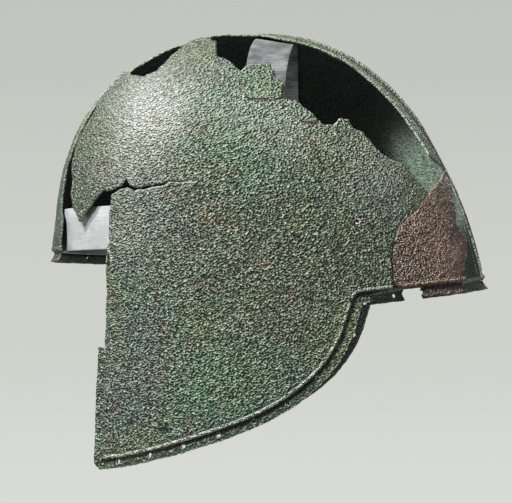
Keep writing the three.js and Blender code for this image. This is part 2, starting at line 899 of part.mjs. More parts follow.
// The band follows the sheet round the brow. Its ends lie flat against the legs, inside them.
function browBand() {
  const level = bandFoot + bandWidth;
  const endX = legInnerX - seatGap;
  const inset = skullPoint(0, level).x - endX;
  const frontInset = sheetThickness + bandClearance;
  const steps = skullColumns / 2;
  const front = [];
  for (let i = 1; i < steps; i++) {
    const p = skullPoint((-i / steps) * Math.PI, level);
    const out = skullNormal(p);
    const flat = new THREE.Vector2(out.x, out.y).normalize();
    const drawIn = THREE.MathUtils.lerp(frontInset, inset, flat.x * flat.x);
    front.push(new THREE.Vector2(p.x, p.y).addScaledVector(flat, -drawIn));
  }
  const outer = [
    new THREE.Vector2(endX, hoopBackY),
    new THREE.Vector2(endX, hoopFrontY),
    ...front.filter((p) => p.y < hoopFrontY - bandThickness),
    new THREE.Vector2(-endX, hoopFrontY),
    new THREE.Vector2(-endX, hoopBackY),
  ];
  const inner = shiftLine(outer, -bandThickness);
  let strip = prism([...outer, ...inner.reverse()], "z", bandFoot, level);
  for (const side of [1, -1])
    for (const z of screwHeights()) strip = strip.subtract(screwHole(side, z));
  return strip;
}

// A slotted screw whose head lies inside the band and whose end is flush with the leg's outside.
function strapScrew() {
  const grip = seatGap + bandThickness + seatGap + hoopThickness;
  const profile = [
    new THREE.Vector2(0, -grip),
    new THREE.Vector2(screwRadius, -grip),
    new THREE.Vector2(screwRadius, 0),
    new THREE.Vector2(screwHeadRadius, 0),
    new THREE.Vector2(screwHeadRadius, screwHeadHeight / 2),
    new THREE.Vector2(screwHeadRadius * 0.8, screwHeadHeight),
    new THREE.Vector2(0, screwHeadHeight),
  ];
  const slot = new THREE.BoxGeometry(3 * screwHeadRadius, 2 * screwSlotDepth, screwSlotWidth);
  slot.translate(0, screwHeadHeight, 0);
  const body = solidOf(new THREE.LatheGeometry(profile, screwSides));
  return geometryOf(body.subtract(solidOf(slot)));
}

// Materials

function finish(color, roughness, metalness) {
  return new THREE.MeshStandardMaterial({ color, roughness, metalness });
}

const paleGreenBronze = finish(0x97a68f, 0.82, 0.15);
const darkGreenBronze = finish(0x4e5f4e, 0.85, 0.15);
const brownBronze = finish(0x5c463b, 0.8, 0.2);
const greyStrip = finish(0x9a9da0, 0.45, 0.7);
const screwSteel = finish(0xb4b6b8, 0.35, 0.9);

const fragmentFinishes = {
  right_half: darkGreenBronze,
  left_half: paleGreenBronze,
  crown_chip: paleGreenBronze,
  temple_chip: paleGreenBronze,
  nape_fragment: brownBronze,
};

// Assembly

const helmet = new THREE.Group();

function addPiece(name, geometry, material, parent) {
  const mesh = new THREE.Mesh(geometry, material);
  mesh.name = name;
  parent.add(mesh);
  return mesh;
}

for (const [name, solid] of Object.entries(fragments()))
  addPiece(name, geometryOf(solid), fragmentFinishes[name], helmet);

const armature = new THREE.Group();
addPiece("crown_hoop", geometryOf(crownHoop()), greyStrip, armature);
addPiece("brow_band", geometryOf(browBand()), greyStrip, armature);
const screw = strapScrew();
for (const [sideName, side] of [["left", 1], ["right", -1]])
  screwHeights().forEach((z, i) => {
    const name = `${sideName}_${["lower", "upper"][i]}_screw`;
    const mesh = addPiece(name, screw, screwSteel, armature);
    const headSeat = legInnerX - seatGap - bandThickness - seatGap;
    mesh.position.set(side * headSeat, hoopCentreY, z);
    mesh.rotation.set(0, 0, (side * Math.PI) / 2);
  });
helmet.add(armature);
helmet.position.set(0, -hoopCentreY, hoopThickness - hoopTop);

const root = new THREE.Group();
root.add(helmet);

export default root;
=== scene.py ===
import math

import bmesh
import bpy
import numpy as np
from mathutils import Matrix, Vector, kdtree


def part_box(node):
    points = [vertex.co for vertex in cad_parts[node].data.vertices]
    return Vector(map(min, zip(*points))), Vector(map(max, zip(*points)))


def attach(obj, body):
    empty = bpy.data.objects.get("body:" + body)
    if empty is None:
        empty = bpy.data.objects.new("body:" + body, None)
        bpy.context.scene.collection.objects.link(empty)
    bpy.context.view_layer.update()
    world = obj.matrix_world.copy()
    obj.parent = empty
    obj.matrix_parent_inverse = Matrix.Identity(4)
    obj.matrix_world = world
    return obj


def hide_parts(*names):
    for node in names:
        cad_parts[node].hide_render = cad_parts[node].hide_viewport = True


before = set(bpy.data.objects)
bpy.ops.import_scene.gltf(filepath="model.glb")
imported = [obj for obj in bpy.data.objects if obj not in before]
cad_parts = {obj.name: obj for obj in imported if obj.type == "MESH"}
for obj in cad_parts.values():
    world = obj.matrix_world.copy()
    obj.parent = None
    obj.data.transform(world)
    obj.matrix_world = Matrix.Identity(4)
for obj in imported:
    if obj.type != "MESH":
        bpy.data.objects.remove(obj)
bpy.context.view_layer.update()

mm = 0.001
standing = {"forward": 2.5, "drop": 116.83}  # the brow line in the room, from the hoop's top


def toRoom(points):
    return (np.asarray(points, float) - [0, standing["forward"], standing["drop"]]) * mm


def addObject(name, data):
    thing = bpy.data.objects.new(name, data)
    bpy.context.collection.objects.link(thing)
    return thing


# The camera comes first, because it is the photograph's.
camera = {
    "lens": 166.2,
    "sensor": 36,
    "clip": (0.05, 30),
    "place": (1.29683, 0.08078, -0.15093),
    "yaw": 4.0,  # towards the back of the head, degrees
    "pitch": 1.66,
}


def makeCamera():
    data = bpy.data.cameras.new("camera")
    data.lens, data.sensor_width = camera["lens"], camera["sensor"]
    data.clip_start, data.clip_end = camera["clip"]
    eye = addObject("camera", data)
    yaw, pitch = math.radians(camera["yaw"]), math.radians(camera["pitch"])
    level = Vector((-math.cos(yaw), -math.sin(yaw), 0))
    forward = level * math.cos(pitch) + Vector((0, 0, math.sin(pitch)))
    right = Vector((-math.sin(yaw), math.cos(yaw), 0))
    up = right.cross(forward)
    turn = Matrix((right, up, -forward)).transposed().to_4x4()
    eye.matrix_world = Matrix.Translation(camera["place"]) @ turn
    bpy.context.scene.camera = eye


makeCamera()

# The skull surface: level sections between curves for its front, back and sides
skull = {
    "length": 235.0,
    "width": 184.0,
    "domeHeight": 123.0,
    "cheekDrop": 112.0,
    "napeDrop": 17.0,
    "browDrop": 2.0,
    "cheekTuck": 8.0,
    "crownForward": 22.0,
    "widestForward": 2.0,
    "plan": 2.1,
    "front": (2.7, 1.7),  # how each side rises and how it rounds over
    "back": (1.35, 2.74),
    "side": (2.2, 2.15),
    "tuckRise": 1.4,
    "apex": 0.9999,  # of the dome's height, above which it faces straight up
}
raysFrom = np.array([0.0, -10.0, 0.0])
hardlyAnything = 1e-6


def powerCurve(share, rise, rounding):
    return np.maximum(0, 1 - share**rise) ** (1 / rounding)


def sectionAt(z):  # front, back, half width and middle of the level section
    s = skull
    up = np.clip(z / s["domeHeight"], 0, 1)
    fromNape = np.clip((z + s["napeDrop"]) / (s["domeHeight"] + s["napeDrop"]), 0, 1)
    down = np.maximum(0, -z / s["cheekDrop"])
    half = s["length"] / 2
    front = -s["crownForward"] - (half - s["crownForward"]) * powerCurve(up, *s["front"])
    back = -s["crownForward"] + (half + s["crownForward"]) * powerCurve(fromNape, *s["back"])
    side = s["width"] / 2 * powerCurve(up, *s["side"]) - s["cheekTuck"] * down ** s["tuckRise"]
    middle = -s["crownForward"] + (s["crownForward"] - s["widestForward"]) * (1 - up * up)
    return front, back, side, middle


def insideMeasure(p):  # 1 on the skull, less inside
    front, back, side, middle = sectionAt(p[:, 2])
    reach = np.where(p[:, 1] < middle, middle - front, back - middle)
    across = np.abs(p[:, 0]) / np.maximum(side, hardlyAnything)
    along = np.abs(p[:, 1] - middle) / np.maximum(reach, hardlyAnything)
    return across ** skull["plan"] + along ** skull["plan"]


def unit(vectors):
    return vectors / np.linalg.norm(vectors, axis=1, keepdims=True)


def skullNormal(p, probe=1e-3):
    normal = np.empty_like(p)
    for axis in range(3):
        step = np.zeros(3)
        step[axis] = probe
        normal[:, axis] = insideMeasure(p + step) - insideMeasure(p - step)
    normal[p[:, 2] > skull["domeHeight"] * skull["apex"]] = (0, 0, 1)
    return unit(normal)


def halfWidth(y, z):
    front, back, side, middle = sectionAt(z)
    reach = np.where(y < middle, middle - front, back - middle)
    share = np.minimum(1, np.abs(y - middle) / reach)
    return side * (1 - share ** skull["plan"]) ** (1 / skull["plan"])


def skullPoint(angle, z):
    front, back, side, middle = sectionAt(z)
    power = 2 / skull["plan"]
    along = np.sign(np.sin(angle)) * np.abs(np.sin(angle)) ** power
    across = np.sign(np.cos(angle)) * np.abs(np.cos(angle)) ** power
    reach = np.where(along < 0, middle - front, back - middle)
    return np.stack([side * across, middle + reach * along, z + 0 * angle], axis=1)


def faceY(x, z, isBack):  # where the front or the back of the skull is, at a width and height
    front, back, side, middle = sectionAt(z)
    share = np.minimum(1, (np.abs(x) / np.maximum(side, hardlyAnything)) ** skull["plan"])
    reach = (back if isBack else front) - middle
    return middle + reach * (1 - share) ** (1 / skull["plan"])


def lastInside(low, high, rounds, pointsAt):  # halves the stretch that crosses the skull
    for _ in range(rounds):
        middle = (low + high) / 2
        inside = insideMeasure(pointsAt(middle)) < 1
        low, high = np.where(inside, middle, low), np.where(inside, high, middle)
    return low


def skullTop(x, y):
    low, high = np.zeros(len(x)), np.full(len(x), skull["domeHeight"])
    return lastInside(low, high, 40, lambda z: np.stack([x, y, z], axis=1))


def ontoSkull(p, least=0.99, most=1.06, rounds=26):  # slides points out or in along rays
    ray = p - raysFrom
    low, high = np.full(len(p), least), np.full(len(p), most)
    share = lastInside(low, high, rounds, lambda s: raysFrom + ray * s[:, None])
    return raysFrom + ray * share[:, None]


# Helpers for node trees, of geometry and of materials
def put(tree, kind, values=None, **settings):  # a node, its settings, and its inputs or their links
    node = tree.nodes.new(kind)
    for key, value in settings.items():
        setattr(node, key, value)
    for key, value in (values or {}).items():
        if isinstance(value, bpy.types.NodeSocket):
            tree.links.new(value, node.inputs[key])
        else:
            node.inputs[key].default_value = value
    return node


def calculate(tree, operation, a, b=0.0):
    return put(tree, "ShaderNodeMath", {0: a, 1: b}, operation=operation).outputs[0]


def chain(tree, operation, first, *others):
    for other in others:
        first = calculate(tree, operation, first, other)
    return first


def times(tree, *values):
    return chain(tree, "MULTIPLY", *values)


def plus(tree, *values):
    return chain(tree, "ADD", *values)


def largest(tree, *values):
    return chain(tree, "MAXIMUM", *values)


def less(tree, whole, taken):
    return calculate(tree, "SUBTRACT", whole, taken)


def makeTree(name, kind, inputs, outputs):  # a node group, and what it is given
    tree = bpy.data.node_groups.new(name, kind)
    for way, sockets in (("INPUT", inputs), ("OUTPUT", outputs)):
        for label, holds, *value in sockets:
            socket = tree.interface.new_socket(name=label, in_out=way, socket_type="NodeSocket" + holds)
            if value:
                socket.default_value = value[0]
    return tree, put(tree, "NodeGroupInput").outputs


def geometryTree(name, *inputs):
    mesh = ("Geometry", "Geometry")
    return makeTree(name, "GeometryNodeTree", [mesh, *inputs, ("Material", "Material")], [mesh])


def finishTree(tree, given, geometry):
    real = put(tree, "GeometryNodeRealizeInstances", {"Geometry": geometry})
    painted = {"Geometry": real.outputs[0], "Material": given["Material"]}
    painted = put(tree, "GeometryNodeSetMaterial", painted)
    put(tree, "NodeGroupOutput", {"Geometry": painted.outputs[0]})


def curveObject(name, line):  # from a line in millimetres, flat or not
    curve = bpy.data.curves.new(name, "CURVE")
    curve.dimensions = "3D"
    curve.twist_mode = "Z_UP"
    spline = curve.splines.new("POLY")
    spline.points.add(len(line) - 1)
    for point, place in zip(spline.points, line * mm):
        point.co = (*place, *[0] * (3 - len(place)), 1)
    return addObject(name, curve)


def runTree(thing, tree, values):  # adds the tree, sets its inputs and keeps the result as a mesh
    modifier = thing.modifiers.new("nodes", "NODES")
    modifier.node_group = tree
    for item in tree.interface.items_tree:
        if item.item_type == "SOCKET" and item.in_out == "INPUT" and item.name in values:
            modifier[item.identifier] = values[item.name]
    depsgraph = bpy.context.evaluated_depsgraph_get()
    depsgraph.update()
    mesh = bpy.data.meshes.new_from_object(thing.evaluated_get(depsgraph))
    thing.modifiers.remove(modifier)
    name = thing.name
    bpy.data.objects.remove(thing)
    return addObject(name, mesh)


def meshPoints(mesh):  # in millimetres
    flat = np.empty(len(mesh.vertices) * 3, np.float32)
    mesh.vertices.foreach_get("co", flat)
    return flat.reshape(-1, 3).astype(float) / mm


def setMeshPoints(mesh, points):
    mesh.vertices.foreach_set("co", np.asarray(points, np.float32).ravel())
    mesh.update()


# Lines on the skull, as shares of its sizes: length and height, or half width and height or length
cheekFrontShares = [[-0.354, -0.02], [-0.363, -0.44], [-0.373, -0.8], [-0.3755, -1.008]]
cheekBackShares = [
    [-0.3755, -1.008], [-0.3, -0.987], [-0.14, -0.897], [0.027, -0.762], [0.131, -0.606],
    [0.189, -0.442], [0.226, -0.225],
]
neckEdgeShares = [[0.226, -0.225], [0.3, -0.206], [0.38, -0.188], [0.45, -0.17]]
frontBreakShares = [
    [0.39, -1.4], [0.39, 0.1], [0.37, 0.17], [0.33, 0.2], [0.3, 0.26], [0.31, 0.33],
    [0.28, 0.38], [0.27, 0.47], [0.24, 0.57], [0.17, 0.67], [0.12, 0.74], [0.1, 0.86], [0.1, 1.2],
]
topBreakShares = [
    [0.1, -0.26], [0.07, -0.2], [0.09, -0.13], [0.05, -0.09], [0.07, -0.04], [0.17, -0.01],
    [0.23, 0.02], [0.25, 0.05], [0.24, 0.11], [0.27, 0.16], [0.28, 0.21],
]
backBreakShares = [
    [0.28, 1.2], [0.28, 0.84], [0.31, 0.77], [0.32, 0.66], [0.34, 0.57], [0.33, 0.48],
    [0.34, 0.44], [0.25, 0.41], [0.1, 0.39], [0.04, 0.36], [0.05, 0.18], [0.02, 0.08],
    [0.04, -0.06], [0.04, -1.4],
]
notchShares = [[0.308, -0.145], [0.316, -0.4], [0.352, -0.4], [0.356, -0.135]]
seamShares = [
    [0.371, 0.264], [0.344, 0.185], [0.32, 0.145], [0.307, 0.119], [0.294, 0.055],
    [0.291, -0.023], [0.293, -0.13],
]
leftTopShares = [
    [-0.415, 0.146], [-0.433, 0.204], [-0.443, 0.272], [-0.438, 0.33], [-0.444, 0.388],
    [-0.434, 0.515], [-0.394, 0.656], [-0.4, 0.78], [-0.36, 0.828], [-0.322, 0.822],
    [-0.311, 0.798], [-0.274, 0.782], [-0.244, 0.806], [-0.223, 0.853], [-0.198, 0.914],
    [-0.175, 0.96], [-0.153, 0.974], [-0.133, 0.961], [-0.112, 0.941], [-0.106, 0.861],
    [-0.083, 0.846], [-0.047, 0.787], [-0.037, 0.811], [-0.019, 0.821], [0.018, 0.822],
    [0.027, 0.764], [0.05, 0.737], [0.047, 0.663], [0.071, 0.655], [0.082, 0.646],
    [0.1, 0.62], [0.12, 0.585], [0.138, 0.546], [0.16, 0.547], [0.174, 0.575], [0.194, 0.572],
    [0.203, 0.537], [0.225, 0.521], [0.238, 0.491], [0.26, 0.439], [0.287, 0.402],
    [0.315, 0.388], [0.333, 0.346], [0.359, 0.296],
]
leftNeckShares = [[0.29, -0.172], [0.252, -0.184], [0.244, -0.2], [0.24, -0.3]]
leftFrontShares = [
    [-0.45, -0.42], [-0.35, -0.431], [-0.345, -0.211], [-0.346, -0.001], [-0.336, 0.054],
    [-0.34, 0.071], [-0.338, 0.165], [-0.334, 0.255],
]
crackShares = [
    [-0.314, 0.279], [-0.295, 0.282], [-0.278, 0.272], [-0.253, 0.275], [-0.218, 0.284],
    [-0.198, 0.302], [-0.164, 0.3], [-0.135, 0.306], [-0.164, 0.307], [-0.196, 0.311],
    [-0.214, 0.299], [-0.246, 0.292], [-0.271, 0.281], [-0.29, 0.291], [-0.3, 0.321],
    [-0.312, 0.289], [-0.334, 0.277], [-0.351, 0.274], [-0.356, 0.278], [-0.374, 0.241],
    [-0.391, 0.204],
]
napeTopShares = [[0.392, 0.315], [0.411, 0.385], [0.55, 0.46]]
napeFlangeShares = [
    [0.55, -0.4], [0.352, -0.4], [0.354, -0.193], [0.361, -0.158], [0.357, -0.15],
    [0.341, -0.161], [0.311, -0.163], [0.302, -0.147],
]
napeSideShares = [
    [0.45, -0.4], [0.45, -0.13], [0.42, -0.04], [0.35, 0.013], [0.305, 0.084], [0.32, 0.109],
    [0.39, 0.138], [0.3, 0.224], [0.2, 0.29], [0.12, 0.385], [0.1, 0.5],
]
crownChipShares = [
    [-0.049, 0.8], [-0.049, 0.9], [0.06, 0.9], [0.06, 0.664], [0.02, 0.656], [-0.03, 0.662],
    [-0.042, 0.71],
]
templeChipShares = [
    [0.078, 0.7], [0.132, 0.7], [0.132, 0.566], [0.118, 0.555], [0.09, 0.562], [0.083, 0.6],
]
earHoleShare = [0.216, 0.136]

hairCrackShares = [[-0.058, 0.742], [-0.04, 0.722], [-0.024, 0.708]]
lineStep = 0.6


def heightOf(share):
    return share * (skull["domeHeight"] if share > 0 else skull["cheekDrop"])


def sideView(shares):
    return np.array([[y * skull["length"], heightOf(z)] for y, z in shares])


def endView(shares):  # from in front or from behind
    return np.array([[x * skull["width"] / 2, heightOf(z)] for x, z in shares])


def topView(shares):
    return np.array([[x * skull["width"] / 2, y * skull["length"]] for x, y in shares])


def stepsIn(a, b):
    return round(float(np.linalg.norm(b - a)) / lineStep)


def denseLine(points):
    pieces = [points[:1]]
    for a, b in zip(points, points[1:]):
        pieces.append(a + (b - a) * np.linspace(0, 1, max(1, stepsIn(a, b)) + 1)[1:, None])
    return np.vstack(pieces)


def smoothLine(points):  # centripetal curve through the points
    p = np.vstack([2 * points[0] - points[1], points, 2 * points[-1] - points[-2]])
    pieces = []
    for i in range(1, len(p) - 2):
        a, b, c, d = p[i - 1 : i + 3]
        t1 = np.linalg.norm(b - a) ** 0.5
        t2 = t1 + np.linalg.norm(c - b) ** 0.5
        t3 = t2 + np.linalg.norm(d - c) ** 0.5
        t = np.linspace(t1, t2, max(2, stepsIn(b, c)), endpoint=False)[:, None]
        ab = ((t1 - t) * a + t * b) / t1
        bc = ((t2 - t) * b + (t - t1) * c) / (t2 - t1)
        cd = ((t3 - t) * c + (t - t2) * d) / (t3 - t2)
        abc = ((t2 - t) * ab + t * bc) / t2
        bcd = ((t3 - t) * bc + (t - t1) * cd) / (t3 - t1)
        pieces.append(((t2 - t) * abc + (t - t1) * bcd) / (t2 - t1))
    return np.vstack([*pieces, points[-1:]])


def onSide(line):  # side-view places, lifted onto the wearer's left; those off the skull go
    x = halfWidth(line[:, 0], line[:, 1])
    lifted = np.stack([x, line[:, 0], line[:, 1]], axis=1)
    return lifted[x > 0.5]


def insideOutline(p, outline):  # even-odd test in the side view
    y, z = p[:, 1], p[:, 2]
    inside = np.zeros(len(p), bool)
    for (y0, z0), (y1, z1) in zip(outline, np.roll(outline, -1, axis=0)):
        if z0 == z1:
            continue
        crosses = (z0 > z) != (z1 > z)
        inside ^= crosses & (y < (y1 - y0) * (z - z0) / (z1 - z0) + y0)
    return inside


def makePath(points):
    tree = kdtree.KDTree(len(points))
    for i, point in enumerate(points):
        tree.insert(point, i)
    tree.balance()
    return {"points": points, "tree": tree}


def nearestIn(path, p):
    return np.fromiter((path["tree"].find(q)[1] for q in p), int, len(p))


def distanceTo(path, p):  # to the nearest part of a line, and the place in it
    line, index = path["points"], nearestIn(path, p)
    best = np.full(len(p), np.inf)
    for shift in (0, 1):
        start = np.clip(index - shift, 0, len(line) - 2)
        a, along = line[start], line[start + 1] - line[start]
        length = np.maximum((along * along).sum(1), hardlyAnything**2)
        share = np.clip(((p - a) * along).sum(1) / length, 0, 1)
        best = np.minimum(best, np.linalg.norm(p - a - along * share[:, None], axis=1))
    return best, index


def signed(inside, distance):
    return np.where(inside, distance, -distance)


edgeSteps = {"brow": 160, "nape": 120}
beyond = 200  # further out than any edge


def rimHalf():  # the intact edge on the wearer's left, from the brow's middle to the nape's
    sides = (cheekFrontShares, cheekBackShares, neckEdgeShares)
    front, back, neck = (smoothLine(sideView(shares)) for shares in sides)
    section = [float(v) for v in sectionAt(np.float64(-skull["browDrop"]))]
    share = (section[3] - front[0, 0]) / (section[3] - section[0])
    corner = -math.asin(share ** (skull["plan"] / 2))
    brow = skullPoint(np.linspace(-math.pi / 2, corner, edgeSteps["brow"]), -skull["browDrop"])
    last = onSide(neck[-1:])[0]
    section = [float(v) for v in sectionAt(np.float64(-skull["napeDrop"]))]
    share = (last[1] - section[3]) / (section[1] - section[3])
    start = math.asin(share ** (skull["plan"] / 2))
    turn = np.linspace(0, 1, edgeSteps["nape"])
    z = last[2] + (-skull["napeDrop"] - last[2]) * np.sin(turn * math.pi / 2)
    nape = skullPoint(start + (math.pi / 2 - start) * turn, z)
    sides = onSide(np.vstack([front, back[1:], neck[1:]]))
    return np.vstack([brow, sides, nape[1:]]), len(brow), len(brow) + len(front)


rimLine, cheekStart, cheekEnd = rimHalf()
rimPath = makePath(rimLine)
rimCorners = [[beyond, rimLine[-1, 2]], [beyond, beyond], [-beyond, beyond]]
rimOutline = np.vstack([[[-beyond, rimLine[0, 2]]], rimLine[:, 1:], rimCorners])


def rimDistance(p):  # how far in from the intact edge, and where along it
    folded = np.abs(p) * [1, 0, 0] + p * [0, 1, 1]
    distance, index = distanceTo(rimPath, folded)
    return signed(insideOutline(p, rimOutline), distance), index


tearLine = {"step": 0.5, "frontLow": -12, "backLow": -30, "napeReach": (-40, 60)}


def lineAt(places, line):
    return np.interp(places, line[:, 1], line[:, 0])


def rightBreak():  # the right half's torn side, from the brow over the crown to the nape
    front, top, back = endView(frontBreakShares), topView(topBreakShares), endView(backBreakShares)[::-1]
    step = tearLine["step"]

    def upright(z, line, isBack):
        x = lineAt(z, line)
        return np.stack([x, faceY(x, z, isBack), z], axis=1)

    before = upright(np.arange(tearLine["frontLow"], skull["domeHeight"], step), front, False)
    y = np.arange(top[0, 1], top[-1, 1], step)
    x = lineAt(y, top)
    over = np.stack([x, y, skullTop(x, y)], axis=1)
    behind = upright(np.arange(skull["domeHeight"], tearLine["backLow"], -step), back, True)
    whole = [before[before[:, 1] < top[0, 1]], over, behind[behind[:, 1] > top[-1, 1]]]
    return {"front": front, "top": top, "back": back, "path": makePath(np.vstack(whole))}


rightTear = rightBreak()


def rightDistance(p):  # positive on the right half's side of its torn edge
    t, y, z = rightTear, p[:, 1], p[:, 2]
    behind = np.where(y < t["top"][-1, 1], lineAt(y, t["top"]), lineAt(z, t["back"]))
    x = np.where(y < t["top"][0, 1], lineAt(z, t["front"]), behind)
    return signed(p[:, 0] < x, distanceTo(t["path"], p)[0])


def makeOutline(*parts):  # a closed side-view outline, with its line on the skull
    outline = np.vstack([part if isinstance(part, np.ndarray) else sideView(part) for part in parts])
    closed = np.vstack([outline, outline[:1]])
    return {"outline": outline, "path": makePath(onSide(denseLine(closed)))}


def outlineDistance(shape, p):  # positive inside, only on the wearer's left
    inside = insideOutline(p, shape["outline"]) & (p[:, 0] > 0)
    return signed(inside, distanceTo(shape["path"], p)[0])


belowTips = -skull["cheekDrop"] - 40
leftFoot = [[sideView(leftNeckShares)[-1, 0], belowTips], [sideView(leftFrontShares)[0, 0], belowTips]]
leftSides = (leftTopShares, seamShares, leftNeckShares, np.array(leftFoot), leftFrontShares, crackShares)
leftShape = makeOutline(*leftSides)
napeShape = makeOutline(napeTopShares, napeFlangeShares, seamShares[::-1])
chipShapes = [makeOutline(shares) for shares in (crownChipShares, templeChipShares)]
notchShape = makeOutline(notchShares)


def napeInnerEdge():
    edge = endView(napeSideShares)
    z = np.arange(*tearLine["napeReach"], tearLine["step"])
    x = lineAt(z, edge)
    return {"edge": edge, "path": makePath(np.stack([x, faceY(x, z, True), z], axis=1))}


napeInner = napeInnerEdge()


def napeInnerDistance(p):
    return signed(p[:, 0] > lineAt(p[:, 2], napeInner["edge"]), distanceTo(napeInner["path"], p)[0])


# Noise in space, smooth, about -1 to 1, one lump to each size
lattice = {"slots": 4096, "apart": 3.7, "gain": 1.7}


def latticeNoise(p, size, seed):
    chance = np.random.default_rng(seed)
    slots = lattice["slots"]
    table = chance.permutation(slots)
    slopes = unit(chance.normal(size=(slots, 3)))
    q = p / size + seed * lattice["apart"]
    cell = np.floor(q).astype(np.int64)
    f = q - cell
    fade = f**3 * (f * (f * 6 - 15) + 10)
    total = np.zeros(len(p))
    for corner in np.ndindex(2, 2, 2):
        c = cell + corner
        slot = table[c[:, 0] & (slots - 1)] + c[:, 1]
        slot = table[(table[slot & (slots - 1)] + c[:, 2]) & (slots - 1)]
        weight = np.prod(np.where(corner, fade, 1 - fade), axis=1)
        total += weight * (slopes[slot] * (f - corner)).sum(1)
    return total * lattice["gain"]


def lumps(p, *layers):  # each layer's height, size and seed
    return sum(height * latticeNoise(p, size, seed) for height, size, seed in layers)


def smoothStep(value, low, high):
    t = np.clip((value - low) / (high - low), 0, 1)
    return t * t * (3 - 2 * t)


# Sewing holes, which Geometry Nodes space along the groove
sewing = {
    "pitch": 20.0,
    "first": -0.15,  # of the pitch, from the brow's middle
    "inFromEdge": 3.25,
    "radius": 1.2,
    "earRadius": 1.0,
    "bareFace": (3, -6),  # where none are: from the cheekpiece's start to its tip, in line steps
}


def placesTree():
    tree, given = geometryTree("placesAlong", ("Count", "Int", 80), ("First", "Float", 0.0))
    line = put(tree, "GeometryNodeMeshLine", {"Count": given["Count"]})
    number = put(tree, "GeometryNodeInputIndex").outputs[0]
    share = calculate(tree, "DIVIDE", plus(tree, number, given["First"]), given["Count"])
    place = put(tree, "GeometryNodeSampleCurve", {"Curves": given["Geometry"], "Factor": share})
    moved = {"Geometry": line.outputs[0], "Position": place.outputs["Position"]}
    finishTree(tree, given, put(tree, "GeometryNodeSetPosition", moved).outputs[0])
    return tree


def holePlaces():
    loop = np.vstack([rimLine[:-1], (rimLine * [-1, 1, 1])[::-1][:-1]])
    along = np.roll(loop, -1, axis=0) - np.roll(loop, 1, axis=0)
    groove = loop - unit(np.cross(along, skullNormal(loop))) * sewing["inFromEdge"]
    closed = np.vstack([groove, groove[:1]])
    length = np.linalg.norm(np.diff(closed, axis=0), axis=1).sum()
    count = 2 * round(length / sewing["pitch"] / 2)
    spacing = {"Count": count, "First": sewing["first"]}
    spaced = runTree(curveObject("holePlaces", closed), placesTree(), spacing)
    places = meshPoints(spaced.data)
    bpy.data.objects.remove(spaced)
    _, place = rimDistance(places)
    first, last = sewing["bareFace"]
    return places[(place < cheekStart + first) | (place > cheekEnd + last)]


holes = makePath(holePlaces())
earHole = onSide(sideView([earHoleShare]))[0]


def fromEar(p):
    return np.linalg.norm(p - earHole, axis=1) - sewing["earRadius"]


def holeDistance(p):  # from the edge of the nearest hole, positive outside it
    sewn = np.linalg.norm(p - holes["points"][nearestIn(holes, p)], axis=1) - sewing["radius"]
    return np.minimum(sewn, fromEar(p))


# The fragments: how far in from its torn edges each one reaches
tear = {
    "broken": ((0.55, 4.5, 11), (0.3, 1.6, 12)),  # heights, sizes and seeds of the raggedness
    "intact": ((0.3, 7, 13), (0.18, 2, 14)),
    "seamGap": 0.15,
    "glueGap": 0.02,  # the chips are glued back, so they lie flush
    "tipRadius": 5.2,  # of the cheekpiece's lower front corner
    "tipLift": 1.1,
}
glue = {
    "fadesOver": 3,
    "crownFades": (83, 88),  # heights above which the glued lines no longer show
    "templeFades": (70, 73),
    "seamFades": (6, 16),
    "crackInset": 0.25,
}


def measures(p):
    rim, place = rimDistance(p)
    noise = lumps(p, *tear["broken"])
    found = {"rim": rim, "place": place, "noise": noise}
    return found | {"hole": holeDistance(p), "right": rightDistance(p)}


def rightTorn(p, m):
    notch = outlineDistance(notchShape, p * [-1, 1, 1])
    return np.minimum(m["right"] + m["noise"], m["noise"] - notch)


def leftTorn(p, m):
    return np.minimum(outlineDistance(leftShape, p) + m["noise"], -m["right"] - tear["seamGap"])


def leftHalfTorn(p, m):
    torn = leftTorn(p, m)
    for shape in chipShapes:
        torn = np.minimum(torn, m["noise"] - outlineDistance(shape, p) - tear["glueGap"])
    return torn


def chipTorn(shape):
    return lambda p, m: np.minimum(leftTorn(p, m), outlineDistance(shape, p) - m["noise"])


def napeTorn(p, m):
    seam = outlineDistance(napeShape, p) - m["noise"] - tear["seamGap"]
    return np.minimum(np.minimum(seam, napeInnerDistance(p) + m["noise"]), -m["right"] - tear["seamGap"])


hairCrack = makePath(onSide(denseLine(sideView(hairCrackShares))))


def faded(p, fades):
    return glue["fadesOver"] * smoothStep(p[:, 2], *glue[fades])


def gluedLine(p, m):  # how far from the lines where the chips were glued back
    crown, temple = (np.abs(m["noise"] - outlineDistance(shape, p)) for shape in chipShapes)
    chips = np.minimum(crown + faded(p, "crownFades"), temple + faded(p, "templeFades"))
    return np.minimum(chips, distanceTo(hairCrack, p)[0] + glue["crackInset"])


def seamLine(p, m):
    return np.abs(outlineDistance(napeShape, p) - m["noise"]) + faded(p, "seamFades")


def tipRound(p):
    tip, radius = rimLine[cheekEnd - 1], tear["tipRadius"]
    y, z = p[:, 1] - tip[1] - radius, p[:, 2] - tip[2] - tear["tipLift"] * radius
    return np.where((y < 0) & (z < 0), radius - np.hypot(y, z), np.inf)


def fieldOf(torn, p):  # distance in from the fragment's edge, from the rim and from a hole
    m = measures(p)
    m["rim"] = np.minimum(m["rim"], tipRound(p))
    edge = np.minimum(torn(p, m), m["rim"] + lumps(p, *tear["intact"]))
    return np.stack([np.minimum(edge, m["hole"]), m["rim"], m["hole"]], axis=1)


